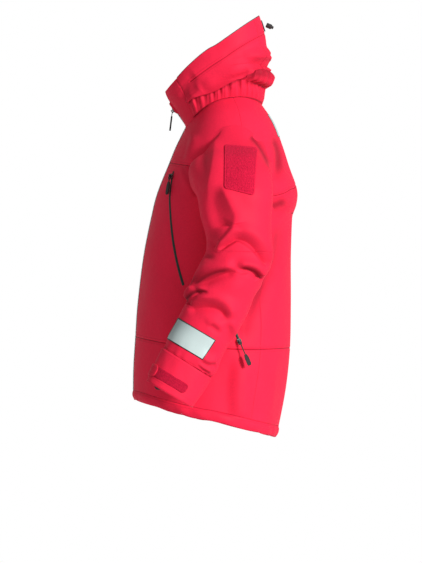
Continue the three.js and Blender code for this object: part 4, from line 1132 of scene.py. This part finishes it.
# ---------------------------------------------------------------- sleeves
def tube(name, g, low, high, sign, node):
    vs = slice(low, high)
    p, n = mirrored(sign, g["p"][:, vs], g["n"][:, vs])
    piece = cloth(name, p, n, CLOTH, SHELL, g["shade"][:, vs], g["seam"][:, vs], sign > 0, wrap=True)
    return dress(piece, "shell_fabric", None, node)


CUFF_TOP = ((-202.5, -531), (-95.5, -599), 294, 49.2)
CUFF_END = ((-238.5, -606), (-139, -664), 306, 47.5)
CUFF_LENGTH = 82
MM_PER_DEGREE = 1.05  # round the cuff


def cuff_point(around, share, lift):
    """A place on the cuff: around it in degrees, 0 at its front and 90 outward, and down it from 0 to 1."""
    around, share, lift = np.broadcast_arrays(around, share, lift)
    flat = around.ravel()
    top = ring_point(*CUFF_TOP, 0, None, flat).reshape(*around.shape, 3)
    end = ring_point(*CUFF_END, 0, None, flat).reshape(*around.shape, 3)
    p = top + (end - top) * share[..., None]
    ahead = ring_point(*CUFF_TOP, 0, None, flat + 1).reshape(*around.shape, 3)
    out = unit(np.cross(ahead - top, top - end))
    middle = np.array([300.0, -170, -600])
    out = np.where(((p - middle) * out).sum(-1, keepdims=True) < 0, -out, out)
    return p + out * lift[..., None], out


def cuff_tube(side, sign):
    around, share = square_grid((-90, 270), 145, (0, 1), 46)
    ripple = 0.5 * np.sin(around / 13 + share * 3) + 0.35 * np.sin(around / 5.1 - share * 5)
    lift = 1.5 * ease(share / 0.06) * ease((1.02 - share) / 0.08) + ripple * np.sin(math.pi * share)
    p, out = cuff_point(around, share, lift)
    length = share * CUFF_LENGTH
    seam = np.minimum(length + 0.1, np.abs(length - 74) + 0.4)
    p, out = mirrored(sign, p, out)
    piece = cloth(side + "_cuff_cloth", p, out, 2.4, SHELL, None, seam, sign > 0, wrap=True)
    return dress(piece, "shell_fabric", side + "_forearm", side + "_cuff")


def inner_cuff(side, sign):
    around, share = square_grid((-90, 270), 181, (0, 1), 16)
    inside = 0.32  # where it starts, as a share of the cuff
    reach = 0.985 + 0.06 * np.exp(-(((around - 57) / 9) ** 2))  # it shows at one place only
    share = inside + (reach - inside) * share
    ribs = 0.35 * np.sin(around * 1.1) * np.ones_like(share)
    p, out = cuff_point(around, share, -4.2 + ribs)
    p, out = mirrored(sign, p, out)
    piece = cloth(side + "_inner_cuff_cloth", p, out, 1.4, [dark_lining], flip=sign > 0, wrap=True)
    return dress(piece, "lining_fabric", side + "_forearm", side + "_inner_cuff")


def rounded_outline(u, v, half_w, half_h, corner):
    """Moves the square (u, v) in -1..1 onto a rectangle whose corners are rounded at its far end."""
    x, y = u * half_w, v * half_h
    over = np.clip(np.abs(y) - half_h + corner, 0, corner)
    rounded = half_w - corner + np.sqrt(np.clip(corner ** 2 - over ** 2, 0, None))
    return u * np.where(u > 0, rounded, half_w), y


def cuff_band(name, sign, angles, shares, lift, thick, slot, node, rides, ruffle=0.0):
    """A strip round the cuff with one rounded end; angles and shares are its reach round and down the cuff."""
    u, v = square_grid((-1, 1), 121, (-1, 1), 21)
    half_w = (angles[1] - angles[0]) / 2 * MM_PER_DEGREE
    half_h = (shares[1] - shares[0]) / 2 * CUFF_LENGTH
    x, y = rounded_outline(u, v, half_w, half_h, half_h * 0.8)
    around = (angles[0] + angles[1]) / 2 + x / MM_PER_DEGREE
    share = (shares[0] + shares[1]) / 2 + y / CUFF_LENGTH
    edge = np.minimum(half_h - np.abs(y), half_w - np.abs(x) + 0.5)
    crown = ease(edge / 1.6)
    rough = ruffle * (np.sin(x * 1.9 + 2 * np.sin(y)) * np.sin(y * 1.7 + np.sin(x * 0.9)))
    p, out = cuff_point(around, share, lift - 0.8 + 0.8 * crown + rough * crown)
    p, out = mirrored(sign, p, out)
    seam = np.abs(edge - 2.2) + 0.5
    shade = np.full_like(x, 0.74 if ruffle else 1.0)
    piece = cloth(name, p, out, thick, [SLOT[slot]], shade, seam, sign > 0)
    return dress(piece, slot, rides, node)


def relaxed(x, own):
    """Each value of a grid drawn towards its four neighbours; own is the weight it keeps itself."""
    q = np.pad(x, 1, mode="reflect", reflect_type="odd")
    return (q[:-2, 1:-1] + q[2:, 1:-1] + q[1:-1, :-2] + q[1:-1, 2:] + own * x) / (4 + own)


def draped(trees, corners, counts, lift, soften, corner_radius=3.0):
    """A patch laid on the outward face of the surfaces: corners are (y, z), from the upper front, clockwise."""
    u, v = square_grid((0, 1), counts[0], (0, 1), counts[1])
    a, b, c, d = (np.array(k, float) - (DRAWN, 0) for k in corners)
    width = (np.linalg.norm(b - a) + np.linalg.norm(c - d)) / 2
    height = (np.linalg.norm(d - a) + np.linalg.norm(c - b)) / 2
    x, y = (u - 0.5) * width, (v - 0.5) * height
    over = np.clip(np.abs(y) - height / 2 + corner_radius, 0, corner_radius)
    limit = width / 2 - corner_radius + np.sqrt(corner_radius ** 2 - over ** 2)
    u = 0.5 + (u - 0.5) * 2 * limit / width
    shares = ((1 - u) * (1 - v), u * (1 - v), u * v, (1 - u) * v)
    yz = sum(corner * part[..., None] for corner, part in zip((a, b, c, d), shares))
    start = np.concatenate([np.full((*u.shape, 1), WELL_OUT), yz], axis=-1)
    hit = cast(trees, start, (-1, 0, 0))
    x = hit[..., 0].copy()
    for _ in range(soften):
        x = relaxed(x, 2)
    x = np.maximum(x, hit[..., 0])
    for _ in range(3):
        x = relaxed(x, 4)
    hit[..., 0] = x
    n = grid_normals(hit)
    n = np.where(n[..., :1] < 0, -n, n)
    inset = np.minimum(limit - np.abs((u - 0.5) * width), height / 2 - np.abs(y))
    inset = np.minimum(inset, NO_SEAM)
    return hit + n * lift, n, inset


BADGE = [(-67, -85), (5, -92), (-2, -197), (-68, -181)]
BADGE_STITCH = 4.4  # how far its stitches lie inside its edge
TAPE = [(-169, -466), (-86, -515), (-115, -559), (-195, -511)]
TAPE_RIM = 1.9


def sleeve_pieces(side, sign, g):
    split = g["split"]
    upper = tube(side + "_upper_sleeve_cloth", g, 0, split + 1, sign, side + "_upper_sleeve")
    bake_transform(upper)
    lower = tube(side + "_forearm_cloth", g, split, g["p"].shape[1], sign, side + "_forearm_sleeve")
    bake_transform(lower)


def cuff_trim(side, sign):
    cuff_band(side + "_cuff_pile", sign, (-34, 116), (0.50, 0.79), 2.6, 1.8, "pile_fabric",
              side + "_cuff_loop_strip", side + "_forearm", ruffle=0.15)
    cuff_band(side + "_cuff_tab_cloth", sign, (-78, 40), (0.48, 0.81), 4.9, 2.0, "trim_fabric",
              side + "_cuff_tab", side + "_tab")


for side, sign in SIGN.items():
    body_tree = surface_tree(bodies[side]["p"])
    g = sleeve_grid(side, body_tree)
    sleeve_pieces(side, sign, g)
    cuff_tube(side, sign)
    inner_cuff(side, sign)
    cuff_trim(side, sign)
    trees = [surface_tree(g["p"])]
    p, n, inset = draped(trees, TAPE, (121, 71), 0.9, 24, 1.5)
    rim = np.where(inset < TAPE_RIM, 0.0, 1.0)
    p, n = mirrored(sign, p, n)
    piece = cloth(side + "_reflective_film", p, n, 0.8, [reflective], rim, inset, sign > 0)
    dress(piece, "reflective", side + "_forearm", side + "_reflective_tape")
    if side == "left":
        p, n, inset = draped(trees, BADGE, (91, 131), 1.5, 60, 6.0)
        sewn = np.exp(-((inset - BADGE_STITCH) / 0.9) ** 2)
        bulk = ease(inset / 1.2) - 0.6 * sewn
        noise = random.normal(0, 0.22, bulk.shape)
        noise = (noise + np.roll(noise, 1, 0) + np.roll(noise, 1, 1)) / 1.8
        p = p + n * (bulk * 0.9 + noise * (inset > 4))[..., None]
        shade = 1.0 - 0.07 * ease((inset - 3) / 3) - 0.12 * sewn
        piece = cloth("badge_pile", p, n, 2.2, [pile_red], shade, inset, True)
        dress(piece, "pile_fabric", "left_upper_arm", "badge_patch")

# ---------------------------------------------------------------- zips
def strip_along(name, line, out, width, profile, thick, slot, body, nodes, sign=1, teeth=None):
    """A strip along a line of points, with a height profile across it."""
    line, out = np.asarray(line, float), unit(np.asarray(out, float))
    along = unit(np.gradient(line, axis=0))
    across = unit(np.cross(out, along))
    w = np.linspace(-0.5, 0.5, len(profile)) * width
    height = np.broadcast_to(profile, (len(line), len(profile))).copy()
    if teeth is not None:
        run = np.r_[0, np.cumsum(np.linalg.norm(np.diff(line, axis=0), axis=1))]
        height += teeth * (np.abs(w) < width * 0.24) * np.sin(run[:, None] * 2 * math.pi / 2.2)
    p = line[:, None] + across[:, None] * w[:, None] + out[:, None] * height[..., None]
    p = p * (sign, 1, 1)
    n = np.broadcast_to(out[:, None] * (sign, 1, 1), p.shape)
    facing = (grid_normals(p) * n).sum(-1).mean() > 0
    piece = cloth(name, p, n, thick, [SLOT[slot]], flip=not facing)
    return dress(piece, slot, body, *nodes)


BODY_MIDDLE = -95.0  # the y of a place well inside the body


def arc_strip(curve, count, side):
    """The line of a pocket zip laid on the body's cloth, and the direction outward along it."""
    line = curve(np.linspace(0.0, 1.0, count))
    out = []
    tree = surface_tree(bodies[side]["p"])
    for i, point in enumerate(line):
        place, normal, _, _ = tree.find_nearest(Vector(point))
        normal = np.array(normal)
        if normal.dot((point[0], point[1] - BODY_MIDDLE, 0.0)) < 0:
            normal = -normal
        line[i] = np.array(place)
        out.append(normal)
    out = np.array(out)
    for _ in range(12):
        out[1:-1] = (out[:-2] + out[1:-1] + out[2:]) / 3
        line[1:-1] = (line[:-2] + 2 * line[1:-1] + line[2:]) / 4
    return line, unit(out)


TAPE_PROFILE = np.array([-0.6, 0.5, 0.75, 0.8, 1.0, 1.5, 1.6, 1.5, 1.0, 0.8, 0.75, 0.5, -0.6])
for side, sign in SIGN.items():
    for kind, curve, count in (("chest", CHEST_ZIP, 420), ("hand", HAND_ZIP, 260)):
        line, out = arc_strip(curve, count, side)
        strip_along(f"{side}_{kind}_zip_coil", line, out, 6.8, TAPE_PROFILE, 1.8, "zip_tape", "body",
                    [f"{side}_{kind}_zip"], sign, 0.22)


def front_line():
    """The centre front from the hem to the collar, in the middle plane, and its outward direction."""
    body_at = np.linspace(0.15, 12, 420)
    hood_at = np.linspace(0.12, 1.93, 70)
    zero = np.zeros_like
    line = np.vstack([surface(BODY, zero(body_at), body_at), surface(HOOD, zero(hood_at), hood_at)])
    step = np.r_[0, np.cumsum(np.linalg.norm(np.diff(line, axis=0), axis=1))]
    even = np.linspace(0, step[-1], 900)
    line = np.stack([np.interp(even, step, line[:, k]) for k in range(3)], axis=-1)
    along = unit(np.gradient(line, axis=0))
    out = unit(np.cross(along, (-1, 0, 0)))
    return line, np.where(out[:, 1:2] > 0, -out, out)


FRONT, FRONT_OUT = front_line()
for side, sign in SIGN.items():
    offset = np.array([2.75 * sign, 0, 0])
    tape = np.array([-1.2, -0.8, -0.4, 0.2, 0.5, 0.5, 0.2, -0.6])
    strip_along(side + "_zip_tape", FRONT + offset, FRONT_OUT, 5.4, tape, 1.6, "zip_tape", "body",
                [side + "_zip_stringer"])


TOOTH_PITCH = 1.9


def moulded_teeth():
    """The main zip's moulded teeth: rounded blocks, taken by turns from each side."""
    verts, faces = [], []
    run = np.r_[0, np.cumsum(np.linalg.norm(np.diff(FRONT, axis=0), axis=1))]
    for k, d in enumerate(np.arange(4, run[-1] - 3, TOOTH_PITCH)):
        here = np.array([np.interp(d, run, FRONT[:, i]) for i in range(3)])
        out = np.array([np.interp(d, run, FRONT_OUT[:, i]) for i in range(3)])
        up = np.cross(out, (1, 0, 0))
        middle = here + np.array([0.9 if k % 2 else -0.9, 0, 0]) + out * 0.9
        base = len(verts)
        for rise, half in ((-1.0, 1.0), (0.45, 1.0), (0.8, 0.72)):
            for a, b in ((-1, -1), (1, -1), (1, 1), (-1, 1)):
                across = np.array([2.1 * a * half, 0, 0])
                verts.append(middle + across + up * (0.72 * b * half) + out * rise)
        for ring in (base, base + 4):
            for i, j in ((0, 1), (1, 2), (2, 3), (3, 0)):
                faces.append([ring + i, ring + j, ring + 4 + j, ring + 4 + i])
        faces.append([base + 3, base + 2, base + 1, base])
        faces.append([base + 8, base + 9, base + 10, base + 11])
    piece = make_mesh("main_zip_teeth", np.array(verts), faces, [zip_teeth], smooth=False)
    return dress(piece, "zip_tape", "body")


moulded_teeth()

# ---------------------------------------------------------------- soft pieces made from the CAD's own outline
def softened(name, node, size, amount, wavelength=26.0, inward=0.0):
    """A piece of lining on a CAD node's outline: finer meshed and softly rumpled."""
    slot = "lining_fabric"
    bm = bmesh.new()
    bm.from_mesh(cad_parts[node].data)
    bmesh.ops.remove_doubles(bm, verts=bm.verts, dist=1e-5)
    for _ in range(4):
        long_edges = [e for e in bm.edges if e.calc_length() > size * MM]
        if not long_edges or len(bm.verts) > 30000:
            break
        bmesh.ops.subdivide_edges(bm, edges=long_edges, cuts=1, use_grid_fill=True)
    bmesh.ops.triangulate(bm, faces=bm.faces)
    bm.normal_update()
    k = 2 * math.pi / wavelength
    for v in bm.verts:
        x, y, z = v.co / MM
        wave = math.sin(x * k + 1.3 * math.sin(z * k * 0.6)) * math.sin(z * k * 0.8 + y * k * 0.5)
        v.co += v.normal * (amount * wave * MM)
        v.co.x -= math.copysign(inward * MM, x)
    mesh = bpy.data.meshes.new(name)
    bm.to_mesh(mesh)
    bm.free()
    add_values(mesh, {})
    co = np.empty(len(mesh.vertices) * 3, dtype=np.float32)
    mesh.vertices.foreach_get("co", co)
    loops = np.empty(len(mesh.loops), dtype=np.int32)
    mesh.loops.foreach_get("vertex_index", loops)
    co = co.reshape(-1, 3) / MM
    uv = co[:, [1, 2]] + co[:, :1]
    mesh.uv_layers.new(name="UVMap").data.foreach_set("uv", uv[loops].astype(np.float32).ravel())
    mesh.polygons.foreach_set("use_smooth", np.full(len(mesh.polygons), True))
    mesh.materials.clear()
    mesh.materials.append(SLOT[slot])
    return dress(placed(name, mesh), slot, "body", node)


for side in SIGN:
    for pocket in (side + "_chest_pocket", side + "_hand_pocket"):
        softened(pocket + "_cloth", pocket + "_bag", 7, 0.25, inward=3.0)
softened("inner_collar_cloth", "inner_collar", 6, 0.15)
softened("storm_flap_cloth", "storm_flap", 7, 0.15)


def chin_guard():
    """The soft guard over the top of the main zip."""
    half_w, length = 15.5, 34
    u, v = square_grid((-1, 1), 41, (0, 1), 41)
    at = 0.98 + 1.12 * v
    angle = edge_angle(HOOD, at, half_w) * u
    p = hood_point(angle, at)
    n = grid_normals(p)
    edge = np.minimum(np.minimum(half_w * (1 - np.abs(u)), length * v), length * (1 - v))
    p = p + n * (0.9 + 2.6 * ease(edge / 3))[..., None]
    piece = cloth("chin_guard_cloth", p, n, 1.2, [trim_red, dark_lining], None, np.abs(edge - 3) + 0.3)
    return dress(piece, "trim_fabric", "body", "chin_guard")


chin_guard()
softened("hang_loop_ribbon", "hang_loop", 2, 0.05, 4.0)


def back_reflector():
    """The reflective strip across the back, laid on the yoke."""
    u, v = square_grid((-1, 1), 81, (-1, 1), 33)
    corner = 3
    lo, hi = (np.array(c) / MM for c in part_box("back_reflector"))
    half_w, half_h = (hi[0] - lo[0]) / 2, (hi[2] - lo[2]) / 2
    over = np.clip(np.abs(v * half_h) - half_h + corner, 0, corner)
    limit = half_w - corner + np.sqrt(corner ** 2 - over ** 2)
    behind = np.full_like(u, 300.0)
    start = np.stack([u * limit, behind, (lo[2] + hi[2]) / 2 + v * half_h], axis=-1)
    trees = [surface_tree(bodies["left"]["p"]), surface_tree(bodies["right"]["p"] * (-1, 1, 1))]
    p = cast(trees, start, (0, -1, 0))
    n = grid_normals(p)
    n = np.where(n[..., 1:2] < 0, -n, n)
    p = p + n * 0.9
    edge = np.minimum(limit - np.abs(u) * limit, half_h - np.abs(v) * half_h)
    shade = np.where(edge < 1.2, 0.0, 1.0)
    flip = (grid_normals(p) * n).sum(-1).mean() < 0
    piece = cloth("back_reflector_film", p, n, 0.8, [reflective], shade, edge, flip)
    return dress(piece, "reflective", "body", "back_reflector")


back_reflector()

# ---------------------------------------------------------------- hard CAD parts keep their shape
for name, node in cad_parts.items():
    if node.hide_render:
        continue
    if "pull" in name or "lock" in name:
        finish_of = grip_rubber
    elif "slider" in name:
        finish_of = zip_metal
    elif "cord" in name:
        finish_of = cord_black
    else:
        continue
    for place in node.material_slots:
        place.material = finish_of

# ---------------------------------------------------------------- floor
floor_mesh = bpy.data.meshes.new("floor")
FLOOR_Z, REACH = -1.35, 6.0  # metres
corners = [(a * REACH, b * REACH, FLOOR_Z) for a, b in ((-1, -1), (1, -1), (1, 1), (-1, 1))]
floor_mesh.from_pydata(corners, [], [(0, 1, 2, 3)])
floor = placed("floor", floor_mesh)
pale = bpy.data.materials.new("pale_floor")
pale.use_nodes = True
pale.node_tree.nodes["Principled BSDF"].inputs["Base Color"].default_value = (0.9, 0.9, 0.9, 1)
floor_mesh.materials.append(pale)
